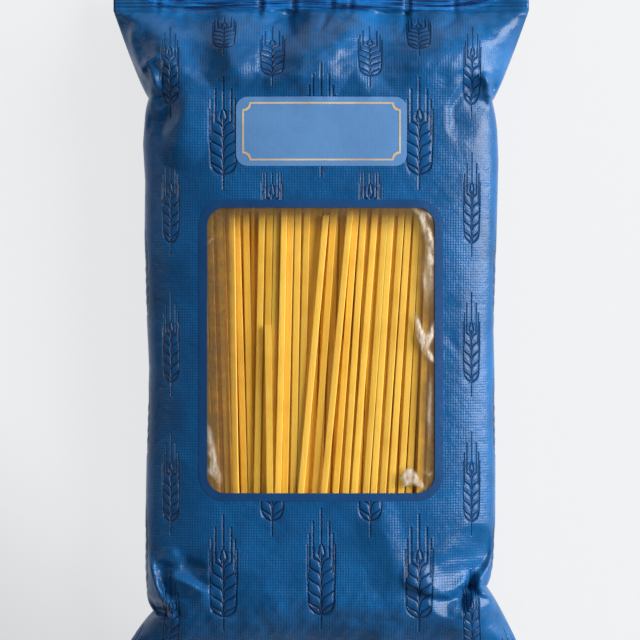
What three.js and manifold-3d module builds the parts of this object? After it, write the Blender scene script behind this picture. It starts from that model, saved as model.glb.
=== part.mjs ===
// A packet of long flat pasta, lying on its back with its window up. A tube of printed film is
// crimped shut at both ends round a bundle of straight strands. A clear pane shows the strands,
// a smooth band borders it, and a small plate with a notched rule sits above it.
// Millimetres, +Z up, +Y towards the top seal, origin on the floor under the middle of the packet.
import * as THREE from "three";
import { mergeVertices } from "three/addons/utils/BufferGeometryUtils.js";
import Module from "manifold-3d";

const wasm = await Module();
wasm.setup();

// Driving dimensions of the filled packet.
const BAG_LENGTH = 338; // end to end, over both seals
const SEAL_WIDTH = 196; // width of the flat film tube
const SEAL_HEIGHT = 14; // length of each crimped seal
const SEAL_MID_HEIGHT = 17; // the seals float this far above the floor
const SEAL_THICKNESS = 1.2;
const BODY_WIDTH = 164.5;
const BODY_DEPTH = 46;
const SIDE_MID_HEIGHT = 22; // height of the widest line along the sides
const SIDE_ROUNDING = 19; // how far in from the side the front starts to curve down
const CROWN = 1.6; // the front falls this much from its middle to the start of the curve
const WALL = 1.2; // thickness that stands for the film
const CLEARANCE = 0.3; // between touching pieces

// The sides draw in to a fold where the bundle ends: y along the side, x out from the middle.
const FOLDS = {
  left: { top: { y: 112.5, x: 80.2 }, bottom: { y: -128, x: 78.8 } },
  right: { top: { y: 112.5, x: 80.2 }, bottom: { y: -116, x: 77.8 } },
};
const FOLD_FLARE = 5; // length over which the side swells again beside a fold

const PASTA_LENGTH = 250;
const STRAND_WIDTH = 3.05;
const STRAND_THICKNESS = 1.7;
const STRAND_GAP = 0.2; // mean gap between neighbours in the top layer
const STRAND_CHAMFER = 0.5;

const WINDOW = { width: 105.6, height: 132.2, radius: 8.4, x: 0, y: -5.1 };
const BAND_WIDTH = 3.7;
const PANE_THICKNESS = 0.6;
const PANE_DROP = 0.4; // the pane lies this far under the outer face

const LABEL = { width: 79, height: 32, radius: 5.4, x: 0.2, y: 96.2 };
const RULE = { width: 73.4, height: 27, notch: 3.3, line: 0.8 };
const SKIN_THICKNESS = 0.4; // label and band
const SKIN_LIFT = 0.15; // between a skin and what it lies on

// Numbers that follow from those.
const SEAL_START = BAG_LENGTH / 2 - SEAL_HEIGHT;
const FULL_END = PASTA_LENGTH / 2 - 5; // the front is level this far from the middle
const BACK_FULL_END = FULL_END + 3;
const SEAL_ROUNDING = 25; // SIDE_ROUNDING grows to this at a seal
const RIB_HEIGHT = 0.35;
const RIBS = 6;

// Facets.
const FLAT_COLUMNS = 9;
const SIDE_COLUMNS = 7;
const BACK_FLAT_COLUMNS = 3;
const BACK_SIDE_COLUMNS = 5;
const CORNER_STEPS = 6;

const RIGHT_ANGLE = Math.PI / 2;
const clamp = (t) => Math.min(1, Math.max(0, t));
const mix = (a, b, t) => a + (b - a) * t;
const smooth = (t) => clamp(t) ** 2 * (3 - 2 * clamp(t));

// Half the packet's width at height y, on the left (-1) or the right (1).
function halfWidth(y, side) {
  const folds = side < 0 ? FOLDS.left : FOLDS.right;
  const fold = y > 0 ? folds.top : folds.bottom;
  const out = Math.abs(y) - Math.abs(fold.y);
  if (out > 0) {
    return mix(fold.x, SEAL_WIDTH / 2, clamp(out / (SEAL_START - Math.abs(fold.y))) ** 0.85);
  }
  return mix(BODY_WIDTH / 2, fold.x, Math.exp(out / FOLD_FLARE));
}

// The same for the bundle, which runs on at the width of the fold and doesn't flare.
function bundleHalfWidth(y, side) {
  const folds = side < 0 ? FOLDS.left : FOLDS.right;
  return halfWidth(Math.max(folds.bottom.y, Math.min(folds.top.y, y)), side);
}

// 1 over the bundle, falling to 0 at the seal along a quarter round.
function rise(y, fullEnd) {
  const t = clamp((SEAL_START - Math.abs(y)) / (SEAL_START - fullEnd));
  return Math.sin(t * RIGHT_ANGLE);
}

// How far the section has turned from a rounded slab (0) to a flat tube's ear (1).
const earShare = (y) => smooth((Math.abs(y) - FULL_END + 2) / 20);

const midHeight = (y) => mix(SIDE_MID_HEIGHT, SEAL_MID_HEIGHT, earShare(y));

// Height of the crest of the front, or of the back, at height y.
function crest(y, front) {
  const half = SEAL_THICKNESS / 2;
  return front
    ? mix(SEAL_MID_HEIGHT + half, BODY_DEPTH, rise(y, FULL_END))
    : mix(SEAL_MID_HEIGHT - half, 0, rise(y, BACK_FULL_END));
}

// Height of the front over the point (x, y) where the section is still flat-topped.
function frontHeight(x, y) {
  return crest(y, true) - (CROWN * rise(y, FULL_END) * x * x) / (BODY_WIDTH / 2) ** 2;
}

// A point of the film. share runs from 0 at the middle to 1 at the side; flat is the share where
// the curve starts. inset moves the point inwards, for the hollow and for the bundle.
function filmPoint(share, flat, y, side, front, inset, widthAt) {
  const half = widthAt(y, side) - inset;
  const rounding = mix(SIDE_ROUNDING, SEAL_ROUNDING, earShare(y)) - inset;
  const turn = clamp((share - flat) / (1 - flat)) * RIGHT_ANGLE;
  const x = (half - rounding) * Math.min(1, share / flat) + rounding * Math.sin(turn);
  const level = front ? frontHeight(x, y) - inset : crest(y, false) + inset;
  const fall = mix(Math.cos(turn), 1 - Math.sin(turn), earShare(y));
  const middle = midHeight(y);
  const least = middle + (front ? 1 : -1) * Math.max(0, SEAL_THICKNESS / 2 - inset);
  const z = middle + (level - middle) * fall;
  return new THREE.Vector3(side * x, y, front ? Math.max(z, least) : Math.min(z, least));
}

// The closed section at height y, from the left edge over the front and back under.
function section(y, inset, { lift = 0, widthAt = halfWidth } = {}) {
  const ring = [];
  const half = (front, flatColumns, sideColumns, side) => {
    const flat = 0.6;
    const points = [];
    for (let i = 0; i <= flatColumns; i++) {
      points.push(filmPoint((flat * i) / flatColumns, flat, y, side, front, inset, widthAt));
    }
    for (let i = 1; i <= sideColumns; i++) {
      const share = flat + ((1 - flat) * i) / sideColumns;
      points.push(filmPoint(share, flat, y, side, front, inset, widthAt));
    }
    return points;
  };
  ring.push(...half(true, FLAT_COLUMNS, SIDE_COLUMNS, -1).reverse());
  ring.push(...half(true, FLAT_COLUMNS, SIDE_COLUMNS, 1).slice(1));
  ring.push(...half(false, BACK_FLAT_COLUMNS, BACK_SIDE_COLUMNS, 1).reverse());
  ring.push(...half(false, BACK_FLAT_COLUMNS, BACK_SIDE_COLUMNS, -1).slice(1));
  const edge = SEAL_THICKNESS / 2;
  const count = ring.length;
  const frontCount = 2 * (FLAT_COLUMNS + SIDE_COLUMNS) + 1;
  // The front and the back meet at the sides a film's thickness apart.
  for (const i of [0, frontCount - 1]) ring[i].z = midHeight(y) + edge;
  for (const i of [frontCount, count - 1]) ring[i].z = midHeight(y) - edge;
  for (const point of ring) point.z += lift;
  return ring;
}

// A closed solid from rings of equal length, given from the lowest y to the highest.
function loft(rings) {
  const count = rings[0].length;
  const positions = rings.flat().flatMap((p) => [p.x, p.y, p.z]);
  const faces = [];
  for (let r = 0; r + 1 < rings.length; r++) {
    for (let i = 0; i < count; i++) {
      const j = (i + 1) % count;
      const [a, b] = [r * count + i, r * count + j];
      faces.push(a, b, b + count, a, b + count, a + count);
    }
  }
  // Each end is closed by a fan about a point on the middle line.
  for (const r of [0, rings.length - 1]) {
    const centre = positions.length / 3;
    positions.push(0, rings[r][0].y, (rings[r][0].z + rings[r][count - 1].z) / 2);
    for (let i = 0; i < count; i++) {
      const [a, b] = [r * count + i, r * count + (i + 1) % count];
      faces.push(...(r ? [a, b, centre] : [b, a, centre]));
    }
  }
  const geometry = new THREE.BufferGeometry();
  geometry.setAttribute("position", new THREE.Float32BufferAttribute(positions, 3));
  geometry.setIndex(faces);
  return geometry;
}

function toSolid(geometry) {
  const bare = geometry.clone();
  bare.deleteAttribute("normal");
  bare.deleteAttribute("uv");
  const merged = mergeVertices(bare, 1e-3);
  const solid = new wasm.Manifold(new wasm.Mesh({
    numProp: 3,
    vertProperties: merged.attributes.position.array,
    triVerts: new Uint32Array(merged.index.array),
  }));
  if (solid.volume() > 0) return solid;
  const turned = new Uint32Array(merged.index.array);
  for (let i = 0; i < turned.length; i += 3) {
    [turned[i + 1], turned[i + 2]] = [turned[i + 2], turned[i + 1]];
  }
  return new wasm.Manifold(new wasm.Mesh({
    numProp: 3, vertProperties: merged.attributes.position.array, triVerts: turned,
  }));
}

function toGeometry(solid) {
  const mesh = solid.getMesh();
  const geometry = new THREE.BufferGeometry();
  const positions = new Float32Array(mesh.numVert * 3);
  for (let i = 0; i < mesh.numVert; i++) {
    positions.set(mesh.vertProperties.subarray(i * mesh.numProp, i * mesh.numProp + 3), i * 3);
  }
  geometry.setAttribute("position", new THREE.BufferAttribute(positions, 3));
  geometry.setIndex(new THREE.BufferAttribute(mesh.triVerts, 1));
  return geometry;
}

// Heights of the sections: close together at the ends and the folds, wide apart over the bundle.
function sectionHeights(end) {
  const heights = new Set([-FULL_END, FULL_END]);
  for (const fold of [FOLDS.left, FOLDS.right]) {
    for (const { y } of [fold.top, fold.bottom]) {
      for (const step of [-9, -4, 0, 4]) heights.add(Math.sign(y) * (Math.abs(y) + step));
    }
  }
  for (let y = -90; y <= 90; y += 30) heights.add(y);
  for (const y of [FULL_END + 4, 131, 138, 144, 149.5, 153]) heights.add(y).add(-y);
  const inside = [...heights].filter((y) => Math.abs(y) < end - 1);
  return [-end, ...inside.sort((a, b) => a - b), end];
}

function sealRings(top) {
  const rings = [];
  const steps = 2 * RIBS;
  for (let i = 1; i <= steps; i++) {
    const y = SEAL_START + (SEAL_HEIGHT * i) / steps;
    const lift = i % 2 ? RIB_HEIGHT : -RIB_HEIGHT;
    rings.push(section(top ? y : -y, 0, { lift }));
  }
  return top ? rings : rings.reverse();
}

// The outline of a rounded rectangle as points, anticlockwise, with its long sides divided.
function roundedOutline(width, height, radius, divisions) {
  const points = [];
  const [w, h] = [width / 2 - radius, height / 2 - radius];
  const corners = [[w, h, 0], [-w, h, 1], [-w, -h, 2], [w, -h, 3]];
  corners.forEach(([cx, cy, quarter], index) => {
    for (let i = 0; i <= CORNER_STEPS; i++) {
      const angle = (quarter + i / CORNER_STEPS) * RIGHT_ANGLE;
      points.push([cx + radius * Math.cos(angle), cy + radius * Math.sin(angle)]);
    }
    const [nx, ny, next] = corners[(index + 1) % 4];
    const from = points[points.length - 1];
    const to = [nx + radius * Math.cos(next * RIGHT_ANGLE), ny + radius * Math.sin(next * RIGHT_ANGLE)];
    for (let i = 1; i < divisions; i++) {
      points.push([mix(from[0], to[0], i / divisions), mix(from[1], to[1], i / divisions)]);
    }
  });
  return points;
}

// The outline of a rectangle whose corners are cut by inward quarter rounds.
function notchedOutline(width, height, notch, divisions) {
  const points = [];
  const [w, h] = [width / 2, height / 2];
  const corners = [[w, h, 3], [-w, h, 4], [-w, -h, 5], [w, -h, 6]];
  corners.forEach(([cx, cy, quarter], index) => {
    for (let i = 0; i <= CORNER_STEPS; i++) {
      const angle = (quarter - i / CORNER_STEPS) * RIGHT_ANGLE;
      points.push([cx + notch * Math.cos(angle), cy + notch * Math.sin(angle)]);
    }
    const [nx, ny, next] = corners[(index + 1) % 4];
    const from = points[points.length - 1];
    const to = [nx + notch * Math.cos(next * RIGHT_ANGLE), ny + notch * Math.sin(next * RIGHT_ANGLE)];
    for (let i = 1; i < divisions; i++) {
      points.push([mix(from[0], to[0], i / divisions), mix(from[1], to[1], i / divisions)]);
    }
  });
  return points;
}

// A thin piece that follows the front between two outlines, from lift to lift + thickness above it.
// With no inner outline it is a whole plate, filled by shrinking copies of the outline.
function skin(outer, inner, centre, lift, thickness) {
  const count = outer.length;
  const loops = inner ? [outer, inner] : [1, 0.66, 0.33].map((k) => outer.map(([x, y]) => [x * k, y * k]));
  const positions = [];
  const place = (x, y, level) => {
    const [px, py] = [x + centre.x, y + centre.y];
    positions.push(px, py, frontHeight(px, py) + level);
    return positions.length / 3 - 1;
  };
  const layer = (level) => loops.map((loop) => loop.map(([x, y]) => place(x, y, level)));
  const [low, high] = [layer(lift), layer(lift + thickness)];
  const faces = [];
  const band = (a, b) => {
    for (let i = 0; i < count; i++) {
      const j = (i + 1) % count;
      faces.push(a[i], a[j], b[j], a[i], b[j], b[i]);
    }
  };
  band(low[0], high[0]);
  for (let k = 0; k + 1 < loops.length; k++) {
    band(high[k], high[k + 1]);
    band(low[k + 1], low[k]);
  }
  const last = loops.length - 1;
  if (inner) {
    band(high[last], low[last]);
  } else {
    const [top, bottom] = [place(0, 0, lift + thickness), place(0, 0, lift)];
    for (let i = 0; i < count; i++) {
      const j = (i + 1) % count;
      faces.push(high[last][i], high[last][j], top, low[last][j], low[last][i], bottom);
    }
  }
  const geometry = new THREE.BufferGeometry();
  geometry.setAttribute("position", new THREE.Float32BufferAttribute(positions, 3));
  geometry.setIndex(faces);
  return geometry;
}

// A repeatable stream of numbers from 0 to 1.
function seededRandom(seed) {
  let state = seed;
  return () => {
    state = (state * 1664525 + 1013904223) % 4294967296;
    return state / 4294967296;
  };
}

// One straight strand: a flat bar with chamfered edges between two points of its centre line.
function strand(from, to) {
  const [w, t, c] = [STRAND_WIDTH / 2, STRAND_THICKNESS / 2, STRAND_CHAMFER];
  const profile = new THREE.Shape([
    [w, c - t], [w, t - c], [w - c, t], [c - w, t], [-w, t - c], [-w, c - t], [c - w, -t], [w - c, -t],
  ].map(([x, y]) => new THREE.Vector2(x, y)));
  const length = from.distanceTo(to);
  const bar = new THREE.ExtrudeGeometry(profile, { depth: length, bevelEnabled: false });
  const along = to.clone().sub(from).normalize();
  const across = new THREE.Vector3(0, 0, 1).cross(along).negate().normalize();
  const up = along.clone().cross(across);
  bar.applyMatrix4(new THREE.Matrix4().makeBasis(across, up, along).setPosition(from));
  return bar;
}

// How the top layer leans: out to the right at the left side, and most of all to the left of
// its lower end in the middle, as the strands slid in the packet.
const leanShift = (x) => 5 * smooth((-x - 20) / 30) - 7 * smooth((x + 35) / 25) * smooth((50 - x) / 45) - 2;

function pastaSolid() {
  const inset = WALL + CLEARANCE;
  let heap = toSolid(loft(sectionHeights(PASTA_LENGTH / 2)
    .map((y) => section(y, inset, { widthAt: bundleHalfWidth }))));
  const troughWidth = WINDOW.width + 4;
  const topUnderFilm = (x) => BODY_DEPTH - (CROWN * x * x) / (BODY_WIDTH / 2) ** 2 - inset;
  const floor = [];
  for (let i = 0; i <= 12; i++) {
    const x = mix(-troughWidth / 2, troughWidth / 2, i / 12);
    floor.push(new THREE.Vector2(x, topUnderFilm(x) - STRAND_THICKNESS + 0.3));
  }
  const trough = new THREE.ExtrudeGeometry(
    new THREE.Shape([
      ...floor,
      new THREE.Vector2(troughWidth / 2, BODY_DEPTH + 5),
      new THREE.Vector2(-troughWidth / 2, BODY_DEPTH + 5),
    ]), { depth: PASTA_LENGTH + 2, bevelEnabled: false });
  trough.rotateX(RIGHT_ANGLE);
  trough.translate(WINDOW.x, PASTA_LENGTH / 2 + 1, 0);
  heap = heap.subtract(toSolid(trough));
  const random = seededRandom(7);
  const pitch = STRAND_WIDTH + STRAND_GAP;
  const edge = troughWidth / 2 - STRAND_WIDTH / 2;
  for (let x = -edge; x <= edge; x += pitch) {
    const sunk = random() < 0.3 ? 0.5 : 0.15 * random();
    const shift = leanShift(x) * (0.92 + 0.16 * random());
    const [top, bottom] = [x - shift, x + shift].map((end) => Math.min(edge, Math.max(-edge, end)));
    const z = topUnderFilm(x) - STRAND_THICKNESS / 2 - sunk;
    const half = FULL_END + 2 - 1.5 * random();
    heap = heap.add(toSolid(strand(
      new THREE.Vector3(bottom + WINDOW.x, -half, z), new THREE.Vector3(top + WINDOW.x, half, z))));
  }
  return heap;
}

function bagSolid() {
  const rings = [
    ...sealRings(false),
    ...sectionHeights(SEAL_START).map((y) => section(y, 0)),
    ...sealRings(true),
  ];
  const hollow = loft(sectionHeights(PASTA_LENGTH / 2 + CLEARANCE).map((y) => section(y, WALL)));
  const opening = new THREE.ExtrudeGeometry(
    new THREE.Shape(roundedOutline(WINDOW.width, WINDOW.height, WINDOW.radius, 1)
      .map(([x, y]) => new THREE.Vector2(x, y))),
    { depth: BODY_DEPTH, bevelEnabled: false });
  opening.translate(WINDOW.x, WINDOW.y, BODY_DEPTH - 8);
  return toSolid(loft(rings)).subtract(toSolid(hollow)).subtract(toSolid(opening));
}

function material(color, roughness) {
  return new THREE.MeshStandardMaterial({ color, roughness, metalness: 0 });
}

function piece(name, geometry, finish) {
  const mesh = new THREE.Mesh(geometry, finish);
  mesh.name = name;
  geometry.computeVertexNormals();
  return mesh;
}

const packet = new THREE.Group();
packet.add(piece("bag", toGeometry(bagSolid()), material(0x1d5597, 0.4)));
packet.add(piece("pasta", toGeometry(pastaSolid()), material(0xdfa83a, 0.6)));

const paneOutline = roundedOutline(
  WINDOW.width - 2 * CLEARANCE, WINDOW.height - 2 * CLEARANCE, WINDOW.radius - CLEARANCE, 4);
const pane = skin(paneOutline, null, WINDOW, -PANE_DROP - PANE_THICKNESS, PANE_THICKNESS);
const paneFinish = material(0xe8e4da, 0.15);
paneFinish.transparent = true;
paneFinish.opacity = 0.3;
packet.add(piece("window_film", pane, paneFinish));

const band = skin(
  roundedOutline(WINDOW.width + 2 * BAND_WIDTH, WINDOW.height + 2 * BAND_WIDTH, WINDOW.radius + BAND_WIDTH, 4),
  roundedOutline(WINDOW.width, WINDOW.height, WINDOW.radius, 4),
  WINDOW, SKIN_LIFT, SKIN_THICKNESS);
packet.add(piece("window_band", band, material(0x164478, 0.35)));

const label = skin(
  roundedOutline(LABEL.width, LABEL.height, LABEL.radius, 4), null, LABEL, SKIN_LIFT, SKIN_THICKNESS);
packet.add(piece("label", label, material(0x6190c4, 0.45)));

const rule = skin(
  notchedOutline(RULE.width, RULE.height, RULE.notch, 4),
  notchedOutline(RULE.width - 2 * RULE.line, RULE.height - 2 * RULE.line, RULE.notch, 4),
  LABEL, 2 * SKIN_LIFT + SKIN_THICKNESS, SKIN_THICKNESS / 2);
packet.add(piece("label_rule", rule, material(0xe3cfa6, 0.4)));

export default packet;
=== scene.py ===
# %% [markdown]
# # A packet of long flat pasta
# The real packet is one web of printed film. A machine wraps it round a bundle of strands, joins
# its two edges into a fin down the back, and crimps it shut across the top and the bottom. This
# lesson follows the same order: the web of film, the window in it, the strands, then the small
# printed parts. The packet lies on its back. X runs across it, Y towards the top seal, Z up.

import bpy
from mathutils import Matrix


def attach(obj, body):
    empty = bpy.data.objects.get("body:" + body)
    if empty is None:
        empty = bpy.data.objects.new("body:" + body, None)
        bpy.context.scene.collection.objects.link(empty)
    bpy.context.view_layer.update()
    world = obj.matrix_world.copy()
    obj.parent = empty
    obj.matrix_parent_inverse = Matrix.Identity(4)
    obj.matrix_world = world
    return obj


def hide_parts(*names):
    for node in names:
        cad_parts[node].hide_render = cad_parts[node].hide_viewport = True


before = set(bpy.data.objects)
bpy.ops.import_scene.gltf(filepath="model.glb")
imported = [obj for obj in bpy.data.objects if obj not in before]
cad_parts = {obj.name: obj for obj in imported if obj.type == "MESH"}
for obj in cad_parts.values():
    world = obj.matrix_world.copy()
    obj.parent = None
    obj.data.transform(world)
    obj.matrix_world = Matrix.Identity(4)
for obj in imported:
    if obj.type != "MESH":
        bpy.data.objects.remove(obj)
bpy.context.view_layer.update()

# %% Helpers that every step uses
import math

import bmesh
import bpy
import numpy as np

MM = 0.001


def deselect_all():
    if bpy.context.mode != "OBJECT":
        bpy.ops.object.mode_set(mode="OBJECT")
    bpy.ops.object.select_all(action="DESELECT")


def select_only(piece):
    deselect_all()
    piece.select_set(True)
    bpy.context.view_layer.objects.active = piece


def read_points(piece):
    points = np.empty(len(piece.data.vertices) * 3)
    piece.data.vertices.foreach_get("co", points)
    return points.reshape(-1, 3) / MM


def write_points(piece, points):
    piece.data.vertices.foreach_set("co", (np.asarray(points) * MM).ravel())
    piece.data.update()


def smooth(t):
    t = np.clip(t, 0.0, 1.0)
    return t * t * (3.0 - 2.0 * t)


def mix(a, b, t):
    return a + (b - a) * t


print("lengths below are in millimetres, and MM turns them into metres")

# %% [markdown]
# ## The form of the filled packet
# The strands make a flat slab, so the film is a rounded slab too, a little crowned in front and
# flat on the floor. Past the slab's ends the front slopes down to the seal and the back rises to
# it. Where the slab ends the sides draw in to a fold, and from there they flare out to the full
# width of the flat tube. One function of the place on the web gives all of that, and every other
# printed part is laid on the same function, so that it follows the film.

# %% Sizes of the packet
SEAL_END = 169.0
SEAL_START = 155.0
SEAL_MID = 17.0
SEAL_HALF = 0.45
TUBE_HALF = 98.0
BODY_HALF = 82.0
DEPTH = 46.0
CREST = DEPTH - 0.5
BACK_LIFT = 0.7
FULL_END = 120.0
BACK_FULL_END = 123.0
SIDE_MID = 22.0
# Powers of the rounded section: in front, behind, and where it thins out to the seals.
FRONT_POWER = 2.9
BACK_POWER = 4.5
FLAT_POWER = 8.0
# Each side fold's place along the packet, and the half width there.
FOLDS = {
    ("left", "top"): (113.0, 80.9), ("right", "top"): (111.5, 80.3),
    ("left", "bottom"): (-128.0, 78.9), ("right", "bottom"): (-116.0, 77.6),
}
FLARE_POWER = 0.85
WAIST_REACH = 4.5
WOBBLE_FADE = 6.0
# How far the filled sides stand out or in, at places along the packet.
SIDE_WOBBLE = {
    "left": ([-118, -106, -85, -50, -14, 20, 49, 74, 91, 108],
             [0.3, 0.6, 0.5, -0.2, -1.3, 0.3, 0.9, 0.6, 1.6, 0.6]),
    "right": ([-108, -85, -50, -14, 4, 28, 49, 84, 98, 108],
              [-0.9, -0.2, -0.1, -0.6, -1.0, -0.1, 0.5, 1.3, 0.8, 0.0]),
}


def half_width(y, side):
    ends = np.where(y > 0, FOLDS[side, "top"][0], -FOLDS[side, "bottom"][0])
    waist = np.where(y > 0, FOLDS[side, "top"][1], FOLDS[side, "bottom"][1])
    out = np.abs(y) - ends
    flare = mix(waist, TUBE_HALF, np.clip(out / (SEAL_START - ends), 0, 1) ** FLARE_POWER)
    wobble = np.interp(y, *SIDE_WOBBLE[side]) * smooth((ends - np.abs(y)) / WOBBLE_FADE)
    body = mix(BODY_HALF, waist, np.exp(np.minimum(out, 0) / WAIST_REACH)) + wobble
    return np.where(out > 0, flare, body)


def half_at(place, y):
    """The half width on the side that place, a signed number, is on."""
    return np.where(place < 0, half_width(y, "left"), half_width(y, "right"))


def rise(y, full_end):
    return np.sin(np.clip((SEAL_START - np.abs(y)) / (SEAL_START - full_end), 0, 1) * math.pi / 2)


def flat_share(y):
    """0 on the filled part, and 1 where the section thins out to a seal."""
    return smooth((np.abs(y) - FULL_END + 2) / 20)


def crest(y, front):
    top = mix(SEAL_MID + SEAL_HALF, CREST, rise(y, FULL_END))
    under = mix(SEAL_MID - SEAL_HALF, BACK_LIFT, rise(y, BACK_FULL_END))
    return np.where(front, top, under)


def section_fall(across, y, front):
    """Height above the side edge as a part of the crest's, from 1 in the middle to 0 at the side."""
    power = np.where(front, FRONT_POWER, BACK_POWER)
    body = (1 - np.minimum(across, 1) ** power) ** (1 / power)
    return mix(body, 1 - across ** FLAT_POWER, flat_share(y))


def level_at(across, y, front):
    """The height of the smooth form, from how far across it a place is."""
    middle = mix(SIDE_MID, SEAL_MID, flat_share(y))
    return middle + (crest(y, front) - middle) * section_fall(across, y, front)


# Equal steps round the section: each share of the way gives a part of the half width.
turns = np.linspace(0, math.pi / 2, 2001)
reference = np.stack([BODY_HALF * np.sin(turns) ** (2 / FRONT_POWER),
                      DEPTH / 2 * np.cos(turns) ** (2 / FRONT_POWER)])
way_round = np.concatenate([[0], np.cumsum(np.hypot(*np.diff(reference, axis=1)))])


def film_place(share, y, side, front):
    """Where the film lies before its creases. share is 0 in the middle and 1 at the side."""
    across = np.interp(share * way_round[-1], way_round, reference[0] / BODY_HALF)
    across = mix(across, share, flat_share(y))
    return side * across * half_at(side, y), level_at(across, y, front), across


def front_level(x, y):
    """The smooth front of the packet over x, y, and how far across it that is."""
    across = np.clip(np.abs(x) / half_at(x, y), 0, 1)
    return level_at(across, y, True), across


print("widest at the seals:", 2 * TUBE_HALF, "and", 2 * BODY_HALF, "where it is full")

# %% [markdown]
# ## Creases
# Film doesn't stretch, so what it can't follow smoothly it takes up in folds. Each fold here is a
# line on the front with a height, which is up for a ridge and down for a valley. Broad folds have
# flat flanks that catch the light evenly, and strokes are thin and sharp. The big ones sit round
# the four side folds. They could be sculpted by hand, but a list of lines is easy to move. Between
# them a few families of straight waves are added at seeded angles, strong at the ends and weak over
# the slab, for the small facets that handling leaves.

# %% Broad folds, whose flanks are flat
# Each is a line, its height, and the widths of its flanks on the left and the right hand along it.
BROAD_FOLDS = [
    # Bottom right: a broad flank that faces the light, cut off by a steep one at the side fold.
    ([(77, -101.5), (72.5, -108), (69, -114.5), (67, -120)], -5.8, 3.0, 15.0),
    ([(43, -114), (52, -117.5), (60, -118.5), (66, -117)], 3.2, 10.0, 2.6),
    ([(49, -107.2), (54.3, -104.1), (63.9, -103.3), (76.1, -101.5)], 1.7, 11.0, 4.5),
    ([(72.8, -110), (73, -115.3), (75.5, -118), (81.5, -119.5)], 2.4, 3.0, 2.2),
    ([(70, -111), (71, -116)], -1.8, 3.0, 3.0),
    ([(64, -124), (72, -125), (82, -123)], 1.5, 5.0, 5.0),
    ([(66, -117), (65.6, -123.5)], -1.6, 1.8, 1.6),
    # Bottom left: the outer strip, the dark pocket under it and the facet that points to the middle.
    ([(-79.7, -103), (-77.6, -111.2), (-76.5, -115.5), (-74.4, -119.4), (-71.5, -123),
      (-70.4, -126.5)], 2.8, 2.6, 6.0),
    ([(-81, -121.5), (-77.5, -126.5), (-72.5, -127.8)], -4.5, 1.9, 2.2),
    ([(-80, -131), (-75, -129.6), (-71, -128.8)], 1.8, 1.6, 6.0),
    ([(-79, -105.8), (-74.4, -102.6), (-69, -100)], 1.4, 2.6, 3.6),
    ([(-73, -107), (-72, -118)], -1.8, 4.0, 3.0),
    ([(-69.7, -110.1), (-55.8, -116.1)], 2.1, 2.8, 9.0),
    ([(-63.3, -106.2), (-55.1, -114)], -1.4, 4.0, 2.2),
    ([(-62, -103.5), (-56, -106)], -1.2, 3.0, 3.0),
    # Top left: the ridge that parts the lit front from the dark side, and the folds outside it.
    ([(-97, 157), (-91.4, 152.9), (-81.7, 145.9), (-76.3, 141.2), (-75.1, 135.4), (-75, 130.9),
      (-67.3, 116), (-62.9, 109.4), (-62.9, 104.4), (-63.8, 97.9), (-67, 91)], 2.9, 12.0, 7.5),
    ([(-87.9, 146), (-89.4, 137), (-86.3, 130), (-82.8, 123.8), (-78.8, 121.1), (-78.8, 116),
      (-80.1, 111.8)], 2.0, 4.5, 2.4),
    ([(-93, 148.5), (-87, 147)], -1.6, 2.6, 3.0),
    ([(-83.2, 126.5), (-80.9, 129.2), (-77, 131.1)], 1.3, 2.4, 2.0),
    ([(-80.9, 129.2), (-77.8, 123.8), (-76.5, 118)], 1.3, 2.6, 2.0),
    ([(-80, 101), (-74, 100.5), (-70, 104)], -2.2, 4.5, 4.5),
    # Top right: the long ridge from the corner with its lit flank below, and the dent under it.
    ([(95.5, 155.5), (74, 143), (52.9, 130.7), (45, 126)], 2.7, 11.0, 17.0),
    ([(66.5, 115.5), (61, 107.1), (61.4, 101)], -2.3, 12.0, 2.6),
    ([(76.6, 121.8), (79.9, 111.7)], 1.9, 2.0, 3.0),
    ([(79.8, 115.5), (84, 121), (88, 128)], -2.4, 2.8, 2.2),
    # Swells that fan out from the top seal.
    ([(-33, 153), (-36, 140), (-40, 128)], 3.2, 10.0, 14.0),
    ([(9, 152), (5, 142), (-2, 130), (-8, 120)], 4.6, 15.0, 16.0),
    ([(-17, 152), (-17, 142), (-20, 130)], -3.0, 10.0, 9.0),
    ([(32, 152), (33, 140), (30, 128)], -3.6, 20.0, 11.0),
    ([(-58, 150), (-55, 138), (-52, 128)], -2.3, 9.0, 9.0),
    ([(19, 151), (13, 144), (7, 137)], 1.8, 7.0, 5.0),
    ([(-43, 152), (-41, 144), (-44, 137)], 1.6, 7.0, 5.0),
    ([(-62, 132), (-52, 126)], -0.8, 7.0, 7.0),
    # Soft swells on the slab and under the window.
    ([(29, -84), (32, -98), (36, -108)], 1.0, 7.0, 12.0),
    ([(-60, -80), (-48, -100), (-30, -112)], 0.6, 12.0, 12.0),
    ([(0, -150), (-6, -138), (-4, -126)], -1.1, 9.0, 7.0),
    ([(-40, -150), (-34, -138)], 1.2, 8.0, 8.0),
    ([(34, -152), (30, -140)], 1.2, 7.0, 9.0),
    ([(60, -150), (54, -138)], -1.0, 8.0, 8.0),
]

print(len(BROAD_FOLDS), "broad folds")

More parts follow.
